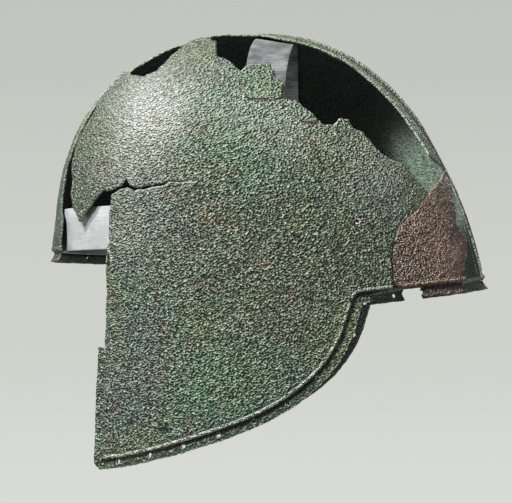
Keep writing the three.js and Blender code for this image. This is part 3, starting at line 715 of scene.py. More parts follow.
# Meshing
meshing = {
    "sphere": {"subdivisions": 5, "reach": (0, 400), "rounds": 60},
    "slack": 1.4,  # an edge is split once it is this many times too long
    "ridgeReach": 3,
    "rimReach": 9,
    "edgeReach": (1.2, 0.6),  # in mm, and in lengths of the edge that may be split
    "holeReach": (0.8, 0.5),
    "outside": (-1, -0.6),
    "dropped": -0.8,
    "floor": -130,
    "inside": 3.5,  # from here in, the outer face is finer than the inner one
    "leastCut": 0.04,  # of an edge, so that no sliver is left
    "sharedEdge": 0.01,
}


def startSphere():
    mesh = bmesh.new()
    bmesh.ops.create_icosphere(mesh, subdivisions=meshing["sphere"]["subdivisions"], radius=1)
    rays = np.array([v.co[:] for v in mesh.verts])
    faces = np.array([[v.index for v in f.verts] for f in mesh.faces])
    mesh.free()
    return ontoSkull(raysFrom + rays, *meshing["sphere"]["reach"], meshing["sphere"]["rounds"]), faces


def dropUnused(points, faces, *arrays):
    used, inverse = np.unique(faces, return_inverse=True)
    return (points[used], inverse.reshape(-1, 3), *[a[used] for a in arrays])


def between(points, a, b):
    return np.linalg.norm(points[a] - points[b], axis=1)


def splitEdges(points, faces, data, wanted, torn):
    a, b = faces, np.roll(faces, -1, axis=1)
    total = len(points)
    keys = (np.minimum(a, b) * total + np.maximum(a, b)).ravel()
    keys, inverse = np.unique(keys, return_inverse=True)
    ends = np.stack([keys // total, keys % total], axis=1)
    split = wanted(points, data, ends, between(points, ends[:, 0], ends[:, 1]))
    if not split.any():
        return points, faces, data, False
    number = np.full(len(keys), -1)
    number[split] = total + np.arange(split.sum())
    middles = ontoSkull(points[ends[split]].mean(axis=1))
    points = np.vstack([points, middles])
    data = np.vstack([data, fieldOf(torn, middles)])
    mid = number[inverse.reshape(-1, 3)]
    count = (mid >= 0).sum(1)
    made = [faces[count == 0]]

    def add(*corners):
        made.append(np.stack(corners, axis=1))

    f, m = faces[count == 3], mid[count == 3]
    add(f[:, 0], m[:, 0], m[:, 2])
    add(m[:, 0], f[:, 1], m[:, 1])
    add(m[:, 2], m[:, 1], f[:, 2])
    made.append(m)
    for turn in range(3):
        one = (count == 1) & (mid[:, turn] >= 0)
        f, m = np.roll(faces[one], -turn, axis=1), mid[one, turn]
        add(f[:, 0], m, f[:, 2])
        add(m, f[:, 1], f[:, 2])
        two = (count == 2) & (mid[:, turn] < 0)  # the first edge stays whole
        f, m = np.roll(faces[two], -turn, axis=1), np.roll(mid[two], -turn, axis=1)
        add(m[:, 2], m[:, 1], f[:, 2])
        firstIsShorter = between(points, f[:, 0], m[:, 1]) <= between(points, f[:, 1], m[:, 2])
        g, n = f[firstIsShorter], m[firstIsShorter]
        add(g[:, 0], g[:, 1], n[:, 1])
        add(g[:, 0], n[:, 1], n[:, 2])
        g, n = f[~firstIsShorter], m[~firstIsShorter]
        add(g[:, 0], g[:, 1], n[:, 2])
        add(g[:, 1], n[:, 1], n[:, 2])
    return points, np.vstack(made), data, True


crest = {
    "spacing": 26.0,
    "width": 4.6,
    "height": 1.8,
    "endHeight": 0.5,
    "front": 6.0,
    "back": -8.0,
    "endFade": 2,
    "roundness": 0.7,
    "frontRise": (0.4, 0.85),  # shares of the dome's height
    "tornRise": (-0.02, 0.15),  # of the skull's length: the left ridge, behind its break
    "tornEnd": (0.44, 0.62),
}


def refineFor(sizes, points, faces, torn):  # small triangles at edges, rim, holes and ridges
    data = fieldOf(torn, points)

    def reach(name, length):
        return meshing[name][0] + meshing[name][1] * length

    def wanted(points, data, ends, length):
        closest = np.abs(data[ends]).min(axis=1)
        size = np.full(len(ends), sizes["inner"])
        ridge = np.abs(np.abs(points[ends][:, :, 0]) - crest["spacing"] / 2).min(axis=1)
        size[ridge < meshing["ridgeReach"] + length / 2] = sizes["ridge"]
        size[data[ends][:, :, 1].min(axis=1) < meshing["rimReach"]] = sizes["rim"]
        size[closest[:, 0] < reach("edgeReach", length)] = sizes["edge"]
        size[closest[:, 2] < reach("holeReach", length)] = sizes["hole"]
        deepest = data[ends][:, :, 0].max(axis=1)
        return (length > meshing["slack"] * size) & (deepest > reach("outside", length))

    changed = True
    while changed:
        corner = data[faces][:, :, 0].max(axis=1)
        long = np.linalg.norm(points[faces] - points[np.roll(faces, -1, axis=1)], axis=2).max(axis=1)
        lowest = points[faces][:, :, 2].min(axis=1)
        keep = (corner > meshing["dropped"] * long) & (lowest > meshing["floor"] - long)
        points, faces, data = dropUnused(points, faces[keep], data)
        points, faces, data, changed = splitEdges(points, faces, data, wanted, torn)
    return points, faces, data


def refineInside(size, points, faces, data, torn):  # finer again, away from every edge
    def wanted(points, data, ends, length):
        isInside = data[ends][:, :, 0].min(axis=1) > meshing["inside"]
        return (length > meshing["slack"] * size) & isInside

    changed = True
    while changed:
        points, faces, data, changed = splitEdges(points, faces, data, wanted, torn)
    return points, faces, data


def trimMesh(points, faces, field):  # keeps what lies where the field is positive
    inside = field > 0
    count = inside[faces].sum(1)
    made = [faces[count == 3]]
    crossings, order = [], []
    total = len(points)

    def cut(a, b):
        crossings.append(np.stack([np.minimum(a, b), np.maximum(a, b)], axis=1))
        return len(crossings) - 1

    for turn in range(3):
        for wanted, chosen in ((1, inside[faces[:, turn]]), (2, ~inside[faces[:, turn]])):
            f = np.roll(faces[(count == wanted) & chosen], -turn, axis=1)
            order.append((wanted, f, cut(f[:, 0], f[:, 1]), cut(f[:, 0], f[:, 2])))
    stacked = np.vstack(crossings)
    keys, inverse = np.unique(stacked[:, 0] * total + stacked[:, 1], return_inverse=True)
    starts = np.cumsum([0] + [len(c) for c in crossings])
    ids = [inverse[starts[i] : starts[i + 1]] + total for i in range(len(crossings))]
    a, b = keys // total, keys % total
    least = meshing["leastCut"]
    share = np.clip(field[a] / (field[a] - field[b]), least, 1 - least)[:, None]
    points = np.vstack([points, points[a] * (1 - share) + points[b] * share])
    for cornersInside, f, i, j in order:
        if cornersInside == 1:
            made.append(np.stack([f[:, 0], ids[i], ids[j]], axis=1))
        else:
            made.append(np.stack([ids[i], f[:, 1], f[:, 2]], axis=1))
            made.append(np.stack([ids[i], f[:, 2], ids[j]], axis=1))
    return largestPart(points, np.vstack(made))


def largestPart(points, faces):
    label = np.arange(len(points))
    while True:
        least = label[faces].min(axis=1)
        new = label.copy()
        for k in range(3):
            np.minimum.at(new, faces[:, k], least)
        new = new[new]
        if (new == label).all():
            break
        label = new
    names, sizes = np.unique(label[faces[:, 0]], return_counts=True)
    keep = label[faces[:, 0]] == names[sizes.argmax()]
    return dropUnused(points, faces[keep])


def openEdges(faces):  # edges that only one face uses, in its direction
    a, b = faces.ravel(), np.roll(faces, -1, axis=1).ravel()
    keys = np.minimum(a, b) * (faces.max() + 1) + np.maximum(a, b)
    _, inverse, counts = np.unique(keys, return_inverse=True, return_counts=True)
    single = counts[inverse] == 1
    return np.stack([a[single], b[single]], axis=1)


# The shape of the sheet
sheet = {
    "thickness": 1.6,
    "edgeThickness": 1.15,  # where it has broken
    "thinsOver": 2.5,
    "beadIn": 6.5,
    "beadWidth": 3.0,
    "beadHeight": 1.15,
    "grooveIn": 3.9,
    "grooveWidth": 1.1,
    "grooveDepth": 0.75,
    "lip": 2.1,
    "lipBends": (0, 2.17, 5.1),  # how far in the lip stands at its whole height, a quarter and none
    "cheekFrontShare": 0.4,  # of bead and lip, where the edge runs down the face
    "cheekFrontStart": (-6, 6),
    "cheekFrontEnd": (-10, 0),
    "browBulge": 1.2,
    "browBulgeAt": (7, 9),  # its middle's height and its reach
    "browBulgeAcross": (-50, -38),
    "browBulgeForward": (98, 112),
    "swell": (0.35, 30.0, 21),  # height, size of a lump and seed
    "dent": (0.2, 12.0, 22),
    "grain": (1, 3.2, 23),
    "outerGrain": 0.16,
    "innerGrain": 0.1,
    "innerRidge": 0.75,
}


def ridgeHeight(p):
    across = np.abs(np.abs(p[:, 0]) - crest["spacing"] / 2) / (crest["width"] / 2)
    profile = 0.5 + 0.5 * np.cos(np.pi * np.clip(across, 0, 1))
    up, along = p[:, 2] / skull["domeHeight"], p[:, 1] / skull["length"]
    low = crest["endHeight"] / crest["height"]
    worn = np.minimum(smoothStep(along, *crest["tornRise"]), smoothStep(up, *crest["tornEnd"]))
    behind = np.where(p[:, 0] > 0, worn, 1)
    risen = np.where(p[:, 1] < -skull["crownForward"], smoothStep(up, *crest["frontRise"]), behind)
    pastEnd = p[:, 2] - np.where(p[:, 1] < 0, crest["front"], crest["back"])
    ends = smoothStep(pastEnd, -crest["endFade"], crest["endFade"])
    return crest["height"] * profile ** crest["roundness"] * (low + (1 - low) * risen) * ends


def borderShape(rim, place):  # the bead, and the lip with its groove
    d = np.maximum(rim, 0)
    start, end = np.add(cheekStart, sheet["cheekFrontStart"]), np.add(cheekEnd, sheet["cheekFrontEnd"])
    onFace = smoothStep(place, *start) * (1 - smoothStep(place, *end))
    share = 1 - (1 - sheet["cheekFrontShare"]) * onFace
    fromBead = (d - sheet["beadIn"]) / (sheet["beadWidth"] / 2)
    bead = sheet["beadHeight"] * np.maximum(0, 1 - fromBead**2)
    groove = sheet["grooveDepth"] * np.exp(-(((d - sheet["grooveIn"]) / sheet["grooveWidth"]) ** 2))
    lip = np.interp(d, sheet["lipBends"], [sheet["lip"], sheet["lip"] / 4, 0])
    return share * bead, share * (lip - groove)


def relief(p):
    middle, reach = sheet["browBulgeAt"]
    acrossBrow = smoothStep(-np.abs(p[:, 0]), *sheet["browBulgeAcross"])
    onBrow = acrossBrow * smoothStep(-p[:, 1], *sheet["browBulgeForward"])
    bulge = sheet["browBulge"] * onBrow * np.exp(-(((p[:, 2] - middle) / reach) ** 2))
    return lumps(p, sheet["swell"]) + bulge + lumps(p, sheet["dent"])


toneZones = {  # broad patches on the near side: place, reach in mm, strength
    "mint": [
        ((-0.09, 0.76), 15, 0.7), ((-0.02, 0.5), 26, 0.5), ((0.0, 0.75), 12, 0.6),
        ((0.1, 0.62), 9, 0.5), ((-0.11, -0.62), 26, 0.6), ((0.04, -0.5), 20, 0.35),
    ],
    "olive": [
        ((0.08, 0.42), 20, 0.35), ((-0.03, 0.04), 30, 0.8), ((0.2, 0.0), 30, 0.7),
        ((-0.4, 0.55), 12, 0.5), ((0.05, -0.3), 30, 0.5), ((0.28, 0.3), 22, 0.3),
    ],
    "lime": [
        ((-0.15, 0.88), 14, 0.8), ((-0.38, 0.5), 16, 0.6), ((0.05, 0.7), 12, 0.4),
        ((-0.27, -0.86), 9, 0.5), ((0.2, -0.25), 7, 0.9), ((0.19, -0.34), 7, 0.8),
        ((0.175, -0.43), 7, 0.7), ((0.145, -0.54), 6, 0.6),
    ],
    "shade": [((-0.5, 0.12), 34, 0.95), ((-0.47, 0.45), 14, 0.6)],
    # pale: a painted highlight on the temple, painted light on the nape fragment, and lighter patina
    # elsewhere
    "pale": [
        ((-0.25, 0.65), 25, 1.0), ((-0.25, 0.65), 16, 0.8), ((-0.3, 0.4), 22, 0.45),
        ((-0.31, 0.1), 15, 0.35), ((0.26, 0.37), 20, 0.35), ((-0.13, 0.83), 22, 0.25),
        ((0.07, 0.56), 22, 0.35), ((-0.05, 0.62), 20, 0.3), ((0.44, -0.02), 14, 0.8),
    ],
    "grey": [
        ((-0.22, 0.14), 30, 0.8), ((-0.28, -0.5), 30, 0.7), ((-0.4, 0.3), 18, 0.6),
        ((-0.3, -0.85), 18, 0.4),
    ],
    "blue": [
        ((-0.25, -0.4), 9, 0.7), ((-0.3, -0.72), 9, 0.7), ((-0.17, -0.8), 5, 0.6),
        ((-0.1, 0.77), 8, 0.5),
    ],
    "scar": [
        ((-0.29, -0.783), 4, 0.9), ((-0.212, -0.8), 4.5, 1.0), ((0.2, -0.213), 2.2, 1.0),
        ((0.185, -0.382), 2, 1.0),
    ],
    "litWall": [  # a painted pool of light on the far wall's inside, where light comes in through the gap
        ((0.37, 0.48), 19, 0.95), ((0.41, 0.34), 16, 0.9), ((0.43, 0.19), 6, 0.9),
    ],
}
noRimMarks = {"start": 4, "end": -8, "by": 20}  # the edge down the face takes no wear, dirt or painted shade from its rim


def toneWeight(p, zones):
    left = np.ones(len(p))
    for (y, z), reach, strength in zones:
        away = np.hypot(p[:, 1] - y * skull["length"], p[:, 2] - heightOf(z))
        left *= 1 - strength * np.exp(-((away / reach) ** 2))
    return 1 - left


def surfaceMarks(p, m, free):  # what the materials read from each point
    onFace = (m["place"] > cheekStart + noRimMarks["start"]) & (m["place"] < cheekEnd + noRimMarks["end"])
    marks = {"torn": free(p, m), "rim": m["rim"] + noRimMarks["by"] * onFace, "hole": m["hole"]}
    marks |= {"ear": fromEar(p), "glued": gluedLine(p, m), "seam": seamLine(p, m)}
    return marks | {key: toneWeight(p, zones) for key, zones in toneZones.items()}


def raisedSheet(side, p, free):  # one face of the sheet, lifted to its shape, and its marks
    m = measures(p)
    bead, lip = borderShape(m["rim"], m["place"])
    ridge, swell, grain = ridgeHeight(p), relief(p), lumps(p, sheet["grain"])
    marks = surfaceMarks(p, m, free)
    whole = smoothStep(marks["torn"], 0, sheet["thinsOver"])
    thin = sheet["edgeThickness"] + (sheet["thickness"] - sheet["edgeThickness"]) * whole
    if side == "outer":
        height = lip + bead + ridge + swell + sheet["outerGrain"] * grain
    else:
        height = lip + ridge * sheet["innerRidge"] + swell - thin + sheet["innerGrain"] * grain
    marks["raised"] = (bead + ridge) / crest["height"]
    marks["inner"] = np.full(len(p), float(side == "inner"))
    return p + skullNormal(p) * height[:, None], marks


def makeFragment(name, torn, free, sizes):
    points, faces, data = refineFor(sizes, *startSphere(), torn)
    innerPoints, innerFaces = trimMesh(points, faces, data[:, 0])
    points, faces, data = refineInside(sizes["outer"], points, faces, data, torn)
    outerPoints, outerFaces = trimMesh(points, faces, data[:, 0])
    outer, outerMarks = raisedSheet("outer", outerPoints, free)
    inner, innerMarks = raisedSheet("inner", innerPoints, free)
    join = joinFaces(outerPoints, outerFaces, innerPoints, innerFaces)
    marks = {key: np.concatenate([outerMarks[key], innerMarks[key]]) for key in outerMarks}
    piece = meshObject(name, np.vstack([outer, inner]), join, marks)
    print(f"{name}: {len(join)} triangles")
    return piece


def joinFaces(outerPoints, outerFaces, innerPoints, innerFaces):
    count = len(outerPoints)
    rim = openEdges(outerFaces)
    innerRim = np.unique(openEdges(innerFaces))
    tree = makePath(innerPoints[innerRim])["tree"]
    partner = {}
    for i in np.unique(rim):
        _, k, gap = tree.find(outerPoints[i])
        if gap > meshing["sharedEdge"]:
            raise ValueError("the two faces of a fragment don't share their edge")
        partner[i] = innerRim[k] + count
    walls = []
    for a, b in rim:
        walls.append((b, a, partner[a]))
        walls.append((b, partner[a], partner[b]))
    return np.vstack([outerFaces, innerFaces[:, ::-1] + count, np.array(walls)])


def meshObject(name, pointsInMm, faces, attributes):
    mesh = bpy.data.meshes.new(name)
    at = toRoom(pointsInMm)
    corners = at[faces]
    volume = (np.cross(corners[:, 0], corners[:, 1]) * corners[:, 2]).sum() / 6
    if volume < 0:
        faces = faces[:, ::-1]
    mesh.from_pydata(at.tolist(), [], faces.tolist())
    for key, values in attributes.items():
        layer = mesh.attributes.new(key, "FLOAT", "POINT")
        layer.data.foreach_set("value", np.asarray(values, np.float32))
    mesh.polygons.foreach_set("use_smooth", np.ones(len(mesh.polygons), bool))
    mesh.update()
    return addObject(name, mesh)


large = {"inner": 2.8, "outer": 1.5, "ridge": 1.1, "rim": 1.1, "edge": 0.75, "hole": 0.42}
near = {"inner": 2.0, "outer": 0.9, "ridge": 0.9, "rim": 0.75, "edge": 0.6, "hole": 0.4}
small = {"inner": 1.2, "outer": 0.6, "ridge": 0.6, "rim": 0.6, "edge": 0.5, "hole": 0.4}
fragmentCuts = {  # each one's torn edge, the same edge with its chips back, and its triangles' sizes
    "rightHalf": (rightTorn, rightTorn, large),
    "leftHalf": (leftHalfTorn, leftTorn, near),
    "crownChip": (chipTorn(chipShapes[0]), leftTorn, small),
    "templeChip": (chipTorn(chipShapes[1]), leftTorn, small),
    "napeFragment": (napeTorn, napeTorn, small),
}
fragments = {name: makeFragment(name, *cut) for name, cut in fragmentCuts.items()}


# Hoop and band: Geometry Nodes carry one rounded section along a line
strip = {
    "thickness": 1.6,
    "edgeRadius": 0.45,
    "edgeSteps": 3,
    "step": 1.5,
    "hoopWidth": 22.0,
    "hoopCentreY": 2.5,
    "hoopFlat": 12.0,
    "hoopFoot": 1.0,
    "hoopStraight": 30.0,
    "bendSteps": 60,  # points along each of the hoop's bends
    "clearance": 0.4,
    "topTilt": 0.086,  # the hoop's top follows the shell, which rises towards the front
    "tiltBetween": (-26, -6),  # from its highest point
    "topBack": 1.8,
    "nearLean": 3.0,  # its near leg leans forward
    "farLean": 2.2,
    "leanBetween": (4, 66),  # from its middle
    "bandWidth": 22.9,
    "bandClearance": 0.5,
    "bandFoot": 3.1,
    "bandSteps": 122,
    "seat": 0.3,
}


def shiftLine(line, distance):  # an open flat line moved to its left
    along = unit(np.gradient(line, axis=0))
    return line + np.stack([-along[:, 1], along[:, 0]], axis=1) * distance


def mirrored(line):
    return np.vstack([line, (line * [-1, 1])[::-1]])


def hoopLine():
    s = strip
    backY, frontY = s["hoopCentreY"] + s["hoopWidth"] / 2, s["hoopCentreY"] - s["hoopWidth"] / 2
    inset = sheet["thickness"] + s["clearance"]
    top = float(skullTop(np.array([s["hoopFlat"] / 2]), np.array([backY]))[0])
    angle = np.linspace(math.asin(s["hoopStraight"] / top), math.pi / 2, s["bendSteps"])[:-1]
    z = top * np.sin(angle)
    y = np.where(halfWidth(backY, z) < halfWidth(frontY, z), backY, frontY)
    p = np.stack([halfWidth(y, z), y, z], axis=1)
    leg = p[:, [0, 2]] - unit(skullNormal(p)[:, [0, 2]]) * inset
    leg = leg[(leg[:, 0] > s["hoopFlat"] / 2 + s["thickness"]) & (leg[:, 1] < top - inset)]
    return mirrored(np.vstack([[leg[0, 0], s["hoopFoot"]], leg, [s["hoopFlat"] / 2, top - inset]]))


def bandLine(legX):
    s = strip
    level = s["bandFoot"] + s["bandWidth"]
    endX = legX - s["thickness"] - s["seat"]
    inset = float(skullPoint(np.array([0.0]), level)[0, 0]) - endX
    p = skullPoint(-np.linspace(0, math.pi, s["bandSteps"])[1:-1], level)
    out = unit(skullNormal(p)[:, :2])
    least = sheet["thickness"] + s["bandClearance"]
    front = p[:, :2] - out * (least + (inset - least) * out[:, :1] ** 2)
    frontY, backY = s["hoopCentreY"] - s["hoopWidth"] / 2, s["hoopCentreY"] + s["hoopWidth"] / 2
    front = front[front[:, 1] < frontY - s["thickness"]]
    ends = np.array([[endX, backY], [endX, frontY]])
    return np.vstack([ends, front, (ends * [-1, 1])[::-1]])


def stripTree():
    sizes = [(name, "Float", mm) for name in ("Width", "Thickness", "Edge Radius", "Step")]
    tree, size = geometryTree("strip", *sizes)
    even = {"Curve": size["Geometry"], "Length": size["Step"]}
    even = put(tree, "GeometryNodeResampleCurve", even, mode="LENGTH").outputs[0]
    sides = {"Width": size["Thickness"], "Height": size["Width"]}
    section = put(tree, "GeometryNodeCurvePrimitiveQuadrilateral", sides).outputs[0]
    corners = {"Curve": section, "Radius": size["Edge Radius"], "Count": strip["edgeSteps"]}
    rounded = put(tree, "GeometryNodeFilletCurve", corners, mode="POLY").outputs[0]
    swept = {"Curve": even, "Profile Curve": rounded, "Fill Caps": True}
    swept = put(tree, "GeometryNodeCurveToMesh", swept).outputs[0]
    finishTree(tree, size, put(tree, "GeometryNodeSetShadeSmooth", {"Geometry": swept}).outputs[0])
    return tree


def makeStrips(hoopMaterial, bandMaterial):
    tree = stripTree()
    s = strip
    sizes = {"Thickness": s["thickness"], "Edge Radius": s["edgeRadius"], "Step": s["step"]}
    sizes = {label: size * mm for label, size in sizes.items()}
    outer = hoopLine()
    hoop = curveObject("hoopStrip", shiftLine(outer, s["thickness"] / 2))
    hoop = runTree(hoop, tree, sizes | {"Width": s["hoopWidth"] * mm, "Material": hoopMaterial})
    x, z, back = meshPoints(hoop.data).T
    y = s["hoopCentreY"] - back
    tilts = smoothStep(z, *np.add(outer[:, 1].max(), s["tiltBetween"]))
    z = z - (y - s["hoopCentreY"] - s["hoopWidth"] / 2) * s["topTilt"] * tilts
    for leg, reach in ((x, s["nearLean"]), (-x, s["farLean"])):
        y = y - reach * smoothStep(leg, *s["leanBetween"])
    setMeshPoints(hoop.data, toRoom(np.stack([x, y + s["topBack"], z], axis=1)))
    band = curveObject("browStrip", shiftLine(bandLine(outer[0, 0]), -s["thickness"] / 2))
    band = runTree(band, tree, sizes | {"Width": s["bandWidth"] * mm, "Material": bandMaterial})
    p = meshPoints(band.data) + [0, 0, s["bandFoot"] + s["bandWidth"] / 2]
    setMeshPoints(band.data, toRoom(p))
    return hoop, band


# Helpers for materials
def shader(name):
    material = bpy.data.materials.new(name)
    material.use_nodes = True
    tree = material.node_tree
    tree.nodes.clear()
    principled = put(tree, "ShaderNodeBsdfPrincipled")
    put(tree, "ShaderNodeOutputMaterial", {"Surface": principled.outputs[0]})
    return material, tree, principled


def feed(tree, principled, values):
    for key, value in values.items():
        tree.links.new(value, principled.inputs[key])


def ramp(tree, value, low, high, lowest=0.0, highest=1.0):  # smooth between two values
    values = {"Value": value, "From Min": low, "From Max": high, "To Min": lowest, "To Max": highest}
    return put(tree, "ShaderNodeMapRange", values, interpolation_type="SMOOTHSTEP").outputs[0]


def blend(tree, share, a, b):
    a, b = [c if isinstance(c, bpy.types.NodeSocket) else (*c, 1) for c in (a, b)]
    return put(tree, "ShaderNodeMix", {0: share, 6: a, 7: b}, data_type="RGBA").outputs[2]


def attribute(tree, name):
    return put(tree, "ShaderNodeAttribute", attribute_name=name).outputs["Fac"]


def objectPlace(tree):
    return put(tree, "ShaderNodeTexCoord").outputs["Object"]


def noise(tree, place, size, detail=2.0, roughness=0.5):  # size of a lump, mm
    values = {"Vector": place, "Scale": 1 / (size * mm), "Detail": detail, "Roughness": roughness}
    return put(tree, "ShaderNodeTexNoise", values).outputs[0]


def useGroup(tree, group, values):
    return put(tree, "ShaderNodeGroup", values, node_tree=group).outputs


def solid(colour):
    return (*colour, 1)


grainLook = {
    "slant": (0.6, 0, 0),
    "drawnOut": (1, 0.75, 1),
    "fine": (0.4, 0.74),  # distortion, and share of the height
    "coarse": (0.5, 0.26),
    "pits": (0.42, 0.1, 0.37),  # where they start, with none and with pitting, and where they are whole
    "peaks": (0.52, 0.64),
}


def makePatinaGrain():  # hard, worm-like grain, drawn out along a slant
    scales = {"Fine Scale": 1120.0, "Coarse Scale": 560.0, "Pitting": 0.5}
    inputs = [(name, "Float", value) for name, value in scales.items()]
    outputs = [(name, "Float") for name in ("Height", "Pits", "Peaks")]
    tree, given = makeTree("patinaGrain", "ShaderNodeTree", inputs, outputs)
    look = grainLook
    slant = {"Vector": objectPlace(tree), "Rotation": look["slant"], "Scale": look["drawnOut"]}
    slant = put(tree, "ShaderNodeMapping", slant).outputs[0]
    layers = []
    for name in ("fine", "coarse"):
        distortion, share = look[name]
        values = {"Vector": slant, "Scale": given[name.title() + " Scale"]}
        values |= {"Detail": 0.0, "Distortion": distortion}
        layers.append(times(tree, put(tree, "ShaderNodeTexNoise", values).outputs[0], share))
    height = plus(tree, *layers)
    none, pitting, whole = look["pits"]
    low = plus(tree, times(tree, given["Pitting"], pitting), none)
    pits, peaks = ramp(tree, height, low, whole), ramp(tree, height, *look["peaks"])
    put(tree, "NodeGroupOutput", {"Height": height, "Pits": pits, "Peaks": peaks})
    return tree


cloudLook = {  # lump size, detail and roughness, then the values between which each comes in
    "Second": (26, 3.0, 0.5, 0.42, 0.62),
    "Third": (7, 4.0, 0.65, 0.5, 0.68),
    "speckles": (2.6, 3.0, 0.7),
    "speckledPatches": (16, 2.0, 0.5),
    "speckleLimits": (0.29, 0.37),
}


def makeCloudyPatina():  # three colours in drifting patches
    grey = solid((0.1, 0.1, 0.1))
    inputs = [(name, "Color", grey) for name in ("Ground", "Second", "Third")]
    outputs = [("Color", "Color"), ("Speckle", "Float")]
    tree, given = makeTree("cloudyPatina", "ShaderNodeTree", inputs, outputs)
    place, look, colour = objectPlace(tree), cloudLook, given["Ground"]
    for name in ("Second", "Third"):
        *lumps, low, high = look[name]
        colour = blend(tree, ramp(tree, noise(tree, place, *lumps), low, high), colour, given[name])
    speckles = [noise(tree, place, *look[name]) for name in ("speckles", "speckledPatches")]
    speckle = ramp(tree, times(tree, *speckles), *look["speckleLimits"])
    put(tree, "NodeGroupOutput", {"Color": colour, "Speckle": speckle})
    return tree


wearAndShadingLook = {  # where each starts and where it is whole, in mm from its edge or in noise
    "broken": 3,  # size of the patches that wear, painted highlight and painted shade come in
    "rubbed": (0.35, 0.62, 0.25, 0.95),
    "burr": (0.5, 0.1, 0.0, 0.5),
    # raised: wear, and a painted highlight along the bead and the ridges
    "raised": (0.2, 0.45),
    "raisedPatches": (0.3, 0.52, 0.2, 0.85),
    "lip": (0.9, 0.1),
    "lipPatches": (0.42, 0.56),
    # groove and aboveBead: dirt and painted shade; flange: painted shade on the flange under the bead
    "groove": ((2.6, 3.9), (5.6, 4.7)),
    "flange": (3.2, 2.4),
    "flangePatches": (0.42, 0.56, 0.1, 0.75),
    "aboveBead": ((7.6, 8.2), (9.6, 8.4)),
    "aboveAmount": 0.45,
}


def makeEdgeWearAndShading():  # rubbed rims on broken edges, wear and painted highlight on raised work, dirt and painted shade in the groove and above the bead, painted shade on the flange
    inputs = [(name, "Float", 0.0) for name in ("Torn", "Rim", "Hole", "Raised")]
    outputs = [(name, "Float") for name in ("Wear", "Dirt")]
    tree, given = makeTree("edgeWearAndShading", "ShaderNodeTree", inputs, outputs)
    look = wearAndShadingLook
    broken = noise(tree, objectPlace(tree), look["broken"], 3.0, 0.7)

    def near(name, limits):
        return ramp(tree, given[name], *look[limits])

    def patches(limits):
        return ramp(tree, broken, *look[limits])

    def stretch(limits):  # between two distances from the rim
        return times(tree, *[ramp(tree, given["Rim"], *ends) for ends in look[limits]])

    rubbed = less(tree, 1.0, calculate(tree, "DIVIDE", given["Torn"], patches("rubbed")))
    # Wear, and a painted highlight on the bead and the ridges.
    raised = times(tree, near("Raised", "raised"), patches("raisedPatches"))
    lip = times(tree, near("Rim", "lip"), patches("lipPatches"))
    wearAndHighlight = largest(tree, rubbed, near("Hole", "burr"), raised, lip)
    # Painted shade on the flange; dirt and painted shade in the groove and above the bead.
    flange = times(tree, near("Rim", "flange"), patches("flangePatches"))
    above = times(tree, stretch("aboveBead"), look["aboveAmount"])
    dirtAndShade = largest(tree, stretch("groove"), flange, above)
    wearAndHighlight = put(tree, "ShaderNodeClamp", {"Value": wearAndHighlight}).outputs[0]
    put(tree, "NodeGroupOutput", {"Wear": wearAndHighlight, "Dirt": dirtAndShade})
    return tree


brushLook = {
    "scratches": (1.1, 4.0, 0.7),  # lump size, detail and roughness
    "smudges": (13, 3.0, 0.6),
    "shares": (0.45, 0.55),
    "limits": (0.36, 0.64),
    "roughness": (0.35, 0.65, 0.3, 0.5),
    "bump": {"Strength": 0.25, "Distance": 0.0004},
}


def makeBrushing():  # fine scratches drawn along one direction, with smudges
    light, dark = solid((0.6, 0.6, 0.6)), solid((0.3, 0.3, 0.3))
    inputs = [("Stretch", "Vector", (1, 1, 1)), ("Light", "Color", light), ("Dark", "Color", dark)]
    outputs = [("Color", "Color"), ("Height", "Float"), ("Roughness", "Float")]
    tree, given = makeTree("brushing", "ShaderNodeTree", inputs, outputs)
    place, look = objectPlace(tree), brushLook
    drawn = put(tree, "ShaderNodeMapping", {"Vector": place, "Scale": given["Stretch"]}).outputs[0]
    layers = noise(tree, drawn, *look["scratches"]), noise(tree, place, *look["smudges"])
    share = plus(tree, *[times(tree, layer, part) for layer, part in zip(layers, look["shares"])])
    colour = blend(tree, ramp(tree, share, *look["limits"]), given["Dark"], given["Light"])
    rough = ramp(tree, layers[1], *look["roughness"])
    put(tree, "NodeGroupOutput", {"Color": colour, "Height": layers[0], "Roughness": rough})
    return tree


patinaGrain, cloudyPatina = makePatinaGrain(), makeCloudyPatina()
edgeWearAndShading, brushing = makeEdgeWearAndShading(), makeBrushing()

# Patinated bronze
paleGreen = {
    "ground": (0.11, 0.172, 0.062),
    "second": (0.078, 0.168, 0.102),
    "third": (0.058, 0.09, 0.03),
    "mint": (0.09, 0.27, 0.13),
    "olive": (0.075, 0.09, 0.04),
    "lime": (0.2, 0.26, 0.1),
    "shade": (0.1, 0.13, 0.07),
    "grey": (0.125, 0.155, 0.13),
    "blue": (0.08, 0.14, 0.155),
    # near white: the temple's painted highlight, and lighter patina
    "pale": (0.68, 0.72, 0.64),
    "speckle": (0.21, 0.09, 0.055),
    "speckleAmount": 0.5,
    # pits and peaks: painted shade in the grain's hollows and painted glints on its peaks
    "pits": (0.003, 0.005, 0.003),
    "peaks": (0.56, 0.66, 0.52),
    "peakAmount": 0.6,
    # light, for wear and for the painted highlight on raised work
    "wearAndHighlight": (0.6, 0.64, 0.54),
    "wearAndHighlightAmount": 0.9,
    # dark, for dirt and painted shade along the border, and for scars
    "dirtAndShade": (0.006, 0.008, 0.006),
    "inside": (0.035, 0.05, 0.04),
    "insideBlue": (0.03, 0.042, 0.042),
    "insideLit": (0.1, 0.15, 0.1),
    "insideDeep": (0.06, 0.1, 0.06),
    "bump": 1.0,
    "roughness": 0.36,
}
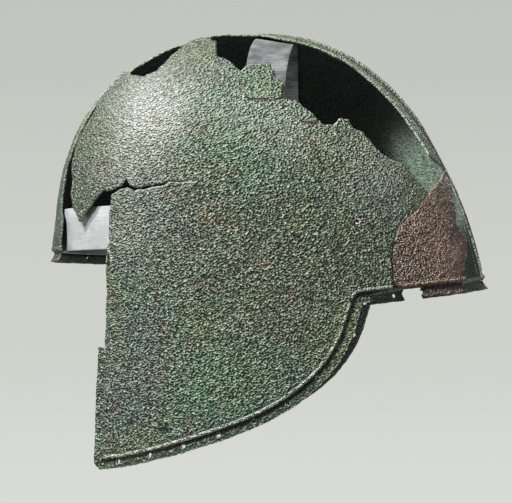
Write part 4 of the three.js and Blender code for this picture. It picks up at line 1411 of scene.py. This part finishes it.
darkGreen = paleGreen | {
    "ground": (0.07, 0.11, 0.06),
    "shade": (0.008, 0.02, 0.013),
    "second": (0.09, 0.135, 0.08),
    "third": (0.05, 0.075, 0.042),
    "speckleAmount": 0.4,
    # painted glints on the grain's peaks
    "peaks": (0.26, 0.34, 0.22),
    "peakAmount": 0.5,
    "wearAndHighlight": (0.35, 0.41, 0.31),
    "wearAndHighlightAmount": 0.6,
    # inside and insideBlue: dark patina, darkened further as painted shade in the interior
    "inside": (0.005, 0.017, 0.009),
    "insideBlue": (0.003, 0.009, 0.012),
    # insideLit and insideDeep: the painted pool of light on the far wall's inside
    "insideLit": (0.82, 1.0, 0.8),
    "insideDeep": (0.22, 0.5, 0.28),
    "roughness": 0.52,
    "bump": 0.6,
}
chipGreen = paleGreen | {
    "ground": (0.2, 0.27, 0.13),
    "second": (0.17, 0.25, 0.15),
    "third": (0.22, 0.29, 0.17),
    "speckleAmount": 0.25,
}
redBrown = paleGreen | {
    "ground": (0.43, 0.24, 0.125),
    "second": (0.3, 0.18, 0.12),
    "third": (0.48, 0.31, 0.19),
    # pale: painted light on the nape fragment
    "pale": (0.95, 0.64, 0.52),
    "mint": (0.12, 0.11, 0.08),
    "olive": (0.13, 0.09, 0.06),
    "speckle": (0.26, 0.17, 0.11),
    # painted glints on the grain's peaks
    "peaks": (0.8, 0.64, 0.5),
    "peakAmount": 0.7,
    "wearAndHighlight": (0.5, 0.42, 0.32),
    "wearAndHighlightAmount": 0.6,
    "dirtAndShade": (0.02, 0.015, 0.014),
    "inside": (0.05, 0.055, 0.04),
    "insideLit": (0.09, 0.1, 0.07),
}
bronzeLook = {
    "pitting": 0.55,
    "paleEvens": 0.72,  # how much of the grain's colours goes in the pale patches and the painted highlight
    # how much dirt and painted shade the border gets; the lime patches lighten it
    "dirtAndShadeAmount": 0.95,
    "limeLightens": 0.9,
    "shadeKeeps": 0.85,  # how much of the wear and painted highlight goes in the shade
    "patches": (5, 0.44, 0.6),  # lump size, and the values between which they rise
    "stain": (0.15, 0.06, 0.042),
    "stainReach": (2.4, 0.4),
    "stainAmount": 0.8,
    "glue": (0.03, 0.02, 0.018),
    "glueReach": (0.38, 0.2),
    "glueCut": (0.45, 0.1),
    "seam": (0.02, 0.013, 0.018),
    "seamReach": (1.0, 0.3),
    "scarLumps": 2.2,
    "scarLimits": (0.36, 0.43),
    "cutDepth": 0.35,
    "deepAmount": 0.6,
    # painted shade in the grain's hollows, inside
    "insidePits": (0.008, 0.012, 0.01),
    "insidePitAmount": 0.7,
    "insideWearAndHighlight": 0.3,
    "earLight": (0.8, 0.74, 0.7),  # the bright ring in the ring hole
    "earReach": (0.8, 0.4),
    "lowRoughness": (0.35, 0.65, 0.68),  # grain heights, and the roughness of the lower
    "wearAndHighlightCalms": 0.5,
    "bumpDistance": 0.0095,
}


def bronze(name, look):
    material, tree, principled = shader(name)
    common = bronzeLook

    def mark(name):
        return attribute(tree, name)

    def part(amount, value):
        return less(tree, 1.0, times(tree, value, amount))

    def over(colour, share, top):
        return blend(tree, share, colour, top)

    place = objectPlace(tree)
    grain = useGroup(tree, patinaGrain, {"Pitting": common["pitting"]})
    cloud = {label: solid(look[label.lower()]) for label in ("Ground", "Second", "Third")}
    cloud = useGroup(tree, cloudyPatina, cloud)
    edges = {label: mark(label.lower()) for label in ("Torn", "Rim", "Hole", "Raised")}
    edges = useGroup(tree, edgeWearAndShading, edges)
    size, *rise = common["patches"]
    patchy = ramp(tree, noise(tree, place, size), *rise)
    glued = mark("glued")

    colour = cloud["Color"]
    # Among these tints, pale holds the painted highlight on the temple and the painted light on the
    # nape.
    for key in ("mint", "olive", "lime", "grey", "blue", "pale", "shade"):
        colour = over(colour, mark(key), look[key])
    spots = times(tree, cloud["Speckle"], look["speckleAmount"])
    colour = over(colour, spots, look["speckle"])
    even = part(common["paleEvens"], mark("pale"))
    # Painted glints on the grain's peaks, and painted shade in its hollows.
    colour = over(colour, times(tree, grain["Peaks"], look["peakAmount"], even), look["peaks"])
    colour = over(colour, times(tree, grain["Pits"], even), look["pits"])
    # Dirt and painted shade along the border, lighter in the lime patches.
    dirtAndShadeShare = less(tree, common["dirtAndShadeAmount"], times(tree, mark("lime"), common["limeLightens"]))
    colour = over(colour, times(tree, edges["Dirt"], dirtAndShadeShare), look["dirtAndShade"])
    kept = part(common["shadeKeeps"], mark("shade"))
    # Wear, with the painted highlight on the bead and the ridges.
    colour = over(colour, times(tree, edges["Wear"], look["wearAndHighlightAmount"], kept), look["wearAndHighlight"])
    stain = times(tree, ramp(tree, glued, *common["stainReach"]), patchy, common["stainAmount"])
    colour = over(colour, stain, common["stain"])
    colour = over(colour, ramp(tree, glued, *common["glueReach"]), common["glue"])
    ragged = noise(tree, place, common["scarLumps"], 1.0)
    scar = ramp(tree, times(tree, mark("scar"), ragged), *common["scarLimits"])
    colour = over(colour, scar, look["dirtAndShade"])
    colour = over(colour, ramp(tree, mark("seam"), *common["seamReach"]), common["seam"])

    # A painted pool of light on the far wall's inside.
    lit = mark("litWall")
    # The inside: dark patina, darkened as painted shade.
    inside = over(blend(tree, patchy, look["inside"], look["insideBlue"]), lit, look["insideLit"])
    inside = over(inside, times(tree, patchy, lit, common["deepAmount"]), look["insideDeep"])
    inside = over(inside, times(tree, spots, lit), look["speckle"])
    inside = over(inside, times(tree, grain["Pits"], common["insidePitAmount"]), common["insidePits"])
    inside = over(inside, times(tree, edges["Wear"], common["insideWearAndHighlight"]), look["wearAndHighlight"])
    colour = over(colour, mark("inner"), inside)
    colour = over(colour, ramp(tree, mark("ear"), *common["earReach"]), common["earLight"])

    rough = ramp(tree, grain["Height"], *common["lowRoughness"], look["roughness"])
    cut = largest(tree, ramp(tree, glued, *common["glueCut"]), scar)
    height = times(tree, grain["Height"], part(common["wearAndHighlightCalms"], edges["Wear"]))
    height = less(tree, height, times(tree, cut, common["cutDepth"]))
    bump = {"Strength": look["bump"], "Distance": common["bumpDistance"], "Height": height}
    bump = put(tree, "ShaderNodeBump", bump).outputs[0]
    feed(tree, principled, {"Base Color": colour, "Roughness": rough, "Normal": bump})
    return material


fragmentLooks = {
    "rightHalf": ("right_half", "dark_green_bronze", bronze("darkGreenBronze", darkGreen)),
    "leftHalf": ("left_half", "pale_green_bronze", bronze("paleGreenBronze", paleGreen)),
    "crownChip": ("crown_chip", "pale_green_bronze", bronze("chipGreenBronze", chipGreen)),
    "templeChip": ("temple_chip", "pale_green_bronze", bronze("chipGreenBronzeSmall", chipGreen)),
    "napeFragment": ("nape_fragment", "brown_bronze", bronze("redBrownBronze", redBrown)),
}
print("bronze ready")

# Grey strip and screws
metals = {  # the way that it is drawn, its light and dark colours, and how metallic it is
    "hoopMetal": ((1, 0.08, 1), (0.33, 0.345, 0.335), (0.08, 0.09, 0.1), 0.5),
    "bandMetal": ((0.08, 0.08, 1), (0.46, 0.48, 0.48), (0.34, 0.36, 0.36), 0.2),
    "screwMetal": ((0.3, 1, 1), (0.55, 0.55, 0.54), (0.25, 0.25, 0.25), 0.9),
}


def brushedMetal(name):
    stretch, light, dark, metallic = metals[name]
    material, tree, principled = shader(name)
    drawn = useGroup(tree, brushing, {"Stretch": stretch, "Light": solid(light), "Dark": solid(dark)})
    bump = put(tree, "ShaderNodeBump", brushLook["bump"] | {"Height": drawn["Height"]}).outputs[0]
    surface = {"Base Color": drawn["Color"], "Roughness": drawn["Roughness"], "Normal": bump}
    feed(tree, principled, surface)
    principled.inputs["Metallic"].default_value = metallic
    return material


hoopPiece, bandPiece = makeStrips(brushedMetal("hoopMetal"), brushedMetal("bandMetal"))
print("strips ready")

screw = {
    "Head Radius": 3.1,
    "Head Height": 1.7,
    "Radius": 1.5,
    "Slot Width": 0.8,
    "Slot Depth": 0.7,
}
screwShape = {"topShare": 0.8, "overlapShare": 0.3, "slotReach": 3, "sides": 32}


def screwTree():  # a slotted head on a short shank, set on every point and turned inwards
    tree, size = geometryTree("bandScrews", *[(name, "Float", mm) for name in (*screw, "Grip")])
    radius, height = size["Head Radius"], size["Head Height"]
    halfHeight = times(tree, height, 0.5)
    s = screwShape

    def upright(x, y, z):
        return put(tree, "ShaderNodeCombineXYZ", {0: x, 1: y, 2: z}).outputs[0]

    def moved(geometry, z):
        values = {"Geometry": geometry, "Translation": upright(0, 0, z)}
        return put(tree, "GeometryNodeTransform", values).outputs[0]

    def cone(bottom, top, depth, low):
        values = {"Vertices": s["sides"], "Radius Top": top, "Radius Bottom": bottom, "Depth": depth}
        return moved(put(tree, "GeometryNodeMeshCone", values).outputs[0], low)

    length = plus(tree, size["Grip"], times(tree, height, s["overlapShare"]))
    whole = put(tree, "GeometryNodeMeshBoolean", operation="UNION")
    for part in (
        cone(radius, radius, halfHeight, 0),
        cone(radius, times(tree, radius, s["topShare"]), halfHeight, halfHeight),
        cone(size["Radius"], size["Radius"], length, times(tree, size["Grip"], -1)),
    ):
        tree.links.new(part, whole.inputs["Mesh 2"])
    reach, deep = times(tree, radius, s["slotReach"]), times(tree, size["Slot Depth"], 2)
    slot = put(tree, "GeometryNodeMeshCube", {"Size": upright(size["Slot Width"], reach, deep)})
    values = {"Mesh 1": whole.outputs[0], "Mesh 2": moved(slot.outputs[0], height)}
    slotted = put(tree, "GeometryNodeMeshBoolean", values, operation="DIFFERENCE").outputs[0]
    place = put(tree, "GeometryNodeInputPosition").outputs[0]
    side = put(tree, "ShaderNodeSeparateXYZ", {0: place}).outputs[0]
    inwards = upright(times(tree, calculate(tree, "SIGN", side), -1.0), 0, 0)
    turn = put(tree, "FunctionNodeAlignRotationToVector", {"Vector": inwards}, axis="Z").outputs[0]
    values = {"Points": size["Geometry"], "Instance": slotted, "Rotation": turn}
    finishTree(tree, size, put(tree, "GeometryNodeInstanceOnPoints", values).outputs[0])
    return tree


def makeScrews(nodes):
    headHeight, places = screw["Head Height"] * mm, []
    for name in nodes:
        low, high = (Vector(corner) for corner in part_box(name))
        middle = (low + high) / 2
        innermost = min(abs(low.x), abs(high.x)) + headHeight
        places.append((math.copysign(innermost, middle.x), middle.y, middle.z))
        grip = abs(high.x - low.x) - headHeight
    mesh = bpy.data.meshes.new("bandScrews")
    mesh.from_pydata(places, [], [])
    values = {label: size * mm for label, size in screw.items()}
    values |= {"Grip": grip, "Material": brushedMetal("screwMetal")}
    return runTree(addObject("bandScrews", mesh), screwTree(), values)


screwNodes = ("left_lower_screw", "left_upper_screw", "right_lower_screw", "right_upper_screw")
screwPiece = makeScrews(screwNodes)
print(f"screws ready: {len(screwPiece.data.polygons)} faces")


def handOver(piece, slot, *nodes):
    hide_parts(*nodes)
    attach(piece, "root")


for key, piece in fragments.items():
    node, slot, look = fragmentLooks[key]
    piece.data.materials.append(look)
    handOver(piece, slot, node)
handOver(hoopPiece, "grey_strip", "crown_hoop")
handOver(bandPiece, "grey_strip", "brow_band")
handOver(screwPiece, "screw_steel", *screwNodes)

# Floor, light and background
studio = {
    "floorDrop": 0.274,
    "floorRadius": 6.0,
    "floorSides": 96,
    "floorFlecks": (4, 3.0, 0.6),  # lump size, detail and roughness
    "fleckLimits": (0.3, 0.7),
    "floorPale": ((0.72, 0.73, 0.7), (0.75, 0.76, 0.73)),
    "floorInMirrors": (0.12, 0.12, 0.12),
    "floorRoughness": 0.95,
    "floorEnds": (0.22, 0.34),  # where the lit floor passes into the backdrop's own colour
    "eyeHeight": 0.123,  # above the floor, and how far away the camera stands
    "eyeAway": 1.27,
    "floorSlopes": (0.0, 0.08),
    "belowHorizon": (0.0, -0.08),
    "aboveHorizon": (0.0, 0.14),
    "top": (0.54, 0.552, 0.518),
    "middle": (0.625, 0.634, 0.595),
    "bottom": (0.7, 0.71, 0.675),
    "light": (0.7, 0.7, 0.69),
    "lightStrength": 0.14,
}
lamps = {  # place, aim, size and power
    "key": ((0.86, -0.74, 1.34), (0.03, -0.04, -0.1), 0.25, 48),
    "front": ((1.28, -0.86, 0.87), (0, 0, -0.06), 0.24, 28),  # through the gap, onto the far wall too
    "fill": ((-1.55, 0.3, 0.55), (0, 0, -0.08), 0.6, 11),
}


def seenDirectly(tree):  # 1 for the camera, and for what metal mirrors
    path = put(tree, "ShaderNodeLightPath").outputs
    return largest(tree, path["Is Camera Ray"], path["Is Glossy Ray"], path["Is Transmission Ray"])


def paperFloor():  # lit near the object, and the backdrop's own colour further off
    material, tree, principled = shader("paperFloor")
    place, seen = objectPlace(tree), seenDirectly(tree)
    fleck = ramp(tree, noise(tree, place, *studio["floorFlecks"]), *studio["fleckLimits"])
    pale = blend(tree, fleck, *studio["floorPale"])
    feed(tree, principled, {"Base Color": blend(tree, seen, studio["floorInMirrors"], pale)})
    principled.inputs["Roughness"].default_value = studio["floorRoughness"]
    away = put(tree, "ShaderNodeVectorMath", {0: place}, operation="LENGTH").outputs["Value"]
    slope = calculate(tree, "DIVIDE", studio["eyeHeight"], plus(tree, away, studio["eyeAway"]))
    colour = blend(tree, ramp(tree, slope, *studio["floorSlopes"]), studio["middle"], studio["bottom"])
    glow = put(tree, "ShaderNodeEmission", {"Color": colour}).outputs[0]
    share = times(tree, ramp(tree, away, *studio["floorEnds"]), seen)
    mixed = put(tree, "ShaderNodeMixShader", {0: share, 1: principled.outputs[0], 2: glow})
    out = next(node for node in tree.nodes if node.type == "OUTPUT_MATERIAL")
    tree.links.new(mixed.outputs[0], out.inputs["Surface"])
    return material


def makeFloor():
    mesh = bmesh.new()
    sides, radius = studio["floorSides"], studio["floorRadius"]
    bmesh.ops.create_circle(mesh, cap_ends=True, segments=sides, radius=radius)
    bmesh.ops.translate(mesh, verts=mesh.verts, vec=(0, 0, -studio["floorDrop"]))
    data = bpy.data.meshes.new("floor")
    mesh.to_mesh(data)
    mesh.free()
    data.materials.append(paperFloor())
    addObject("floor", data)


def areaLight(name, place, aim, size, power):
    data = bpy.data.lights.new(name, "AREA")
    data.shape, data.size, data.energy = "DISK", size, power
    lamp = addObject(name, data)
    lamp.location = place
    lamp.rotation_mode = "QUATERNION"
    lamp.rotation_quaternion = (Vector(aim) - Vector(place)).to_track_quat("-Z", "Y")


def makeWorld():
    world = bpy.data.worlds.new("studio")
    world.use_nodes = True
    tree = world.node_tree
    tree.nodes.clear()
    direction = put(tree, "ShaderNodeTexCoord").outputs["Generated"]
    rise = put(tree, "ShaderNodeSeparateXYZ", {0: direction}).outputs[2]
    low = blend(tree, ramp(tree, rise, *studio["belowHorizon"]), studio["middle"], studio["bottom"])
    colour = blend(tree, ramp(tree, rise, *studio["aboveHorizon"]), low, studio["top"])
    seen = put(tree, "ShaderNodeBackground", {"Color": colour})
    lit = {"Color": solid(studio["light"]), "Strength": studio["lightStrength"]}
    lit = put(tree, "ShaderNodeBackground", lit)
    mixed = {0: seenDirectly(tree), 1: lit.outputs[0], 2: seen.outputs[0]}
    mixed = put(tree, "ShaderNodeMixShader", mixed)
    put(tree, "ShaderNodeOutputWorld", {"Surface": mixed.outputs[0]})
    bpy.context.scene.world = world


makeFloor()
for name, settings in lamps.items():
    areaLight(name, *settings)
makeWorld()
bpy.context.scene.view_settings.view_transform = "Standard"
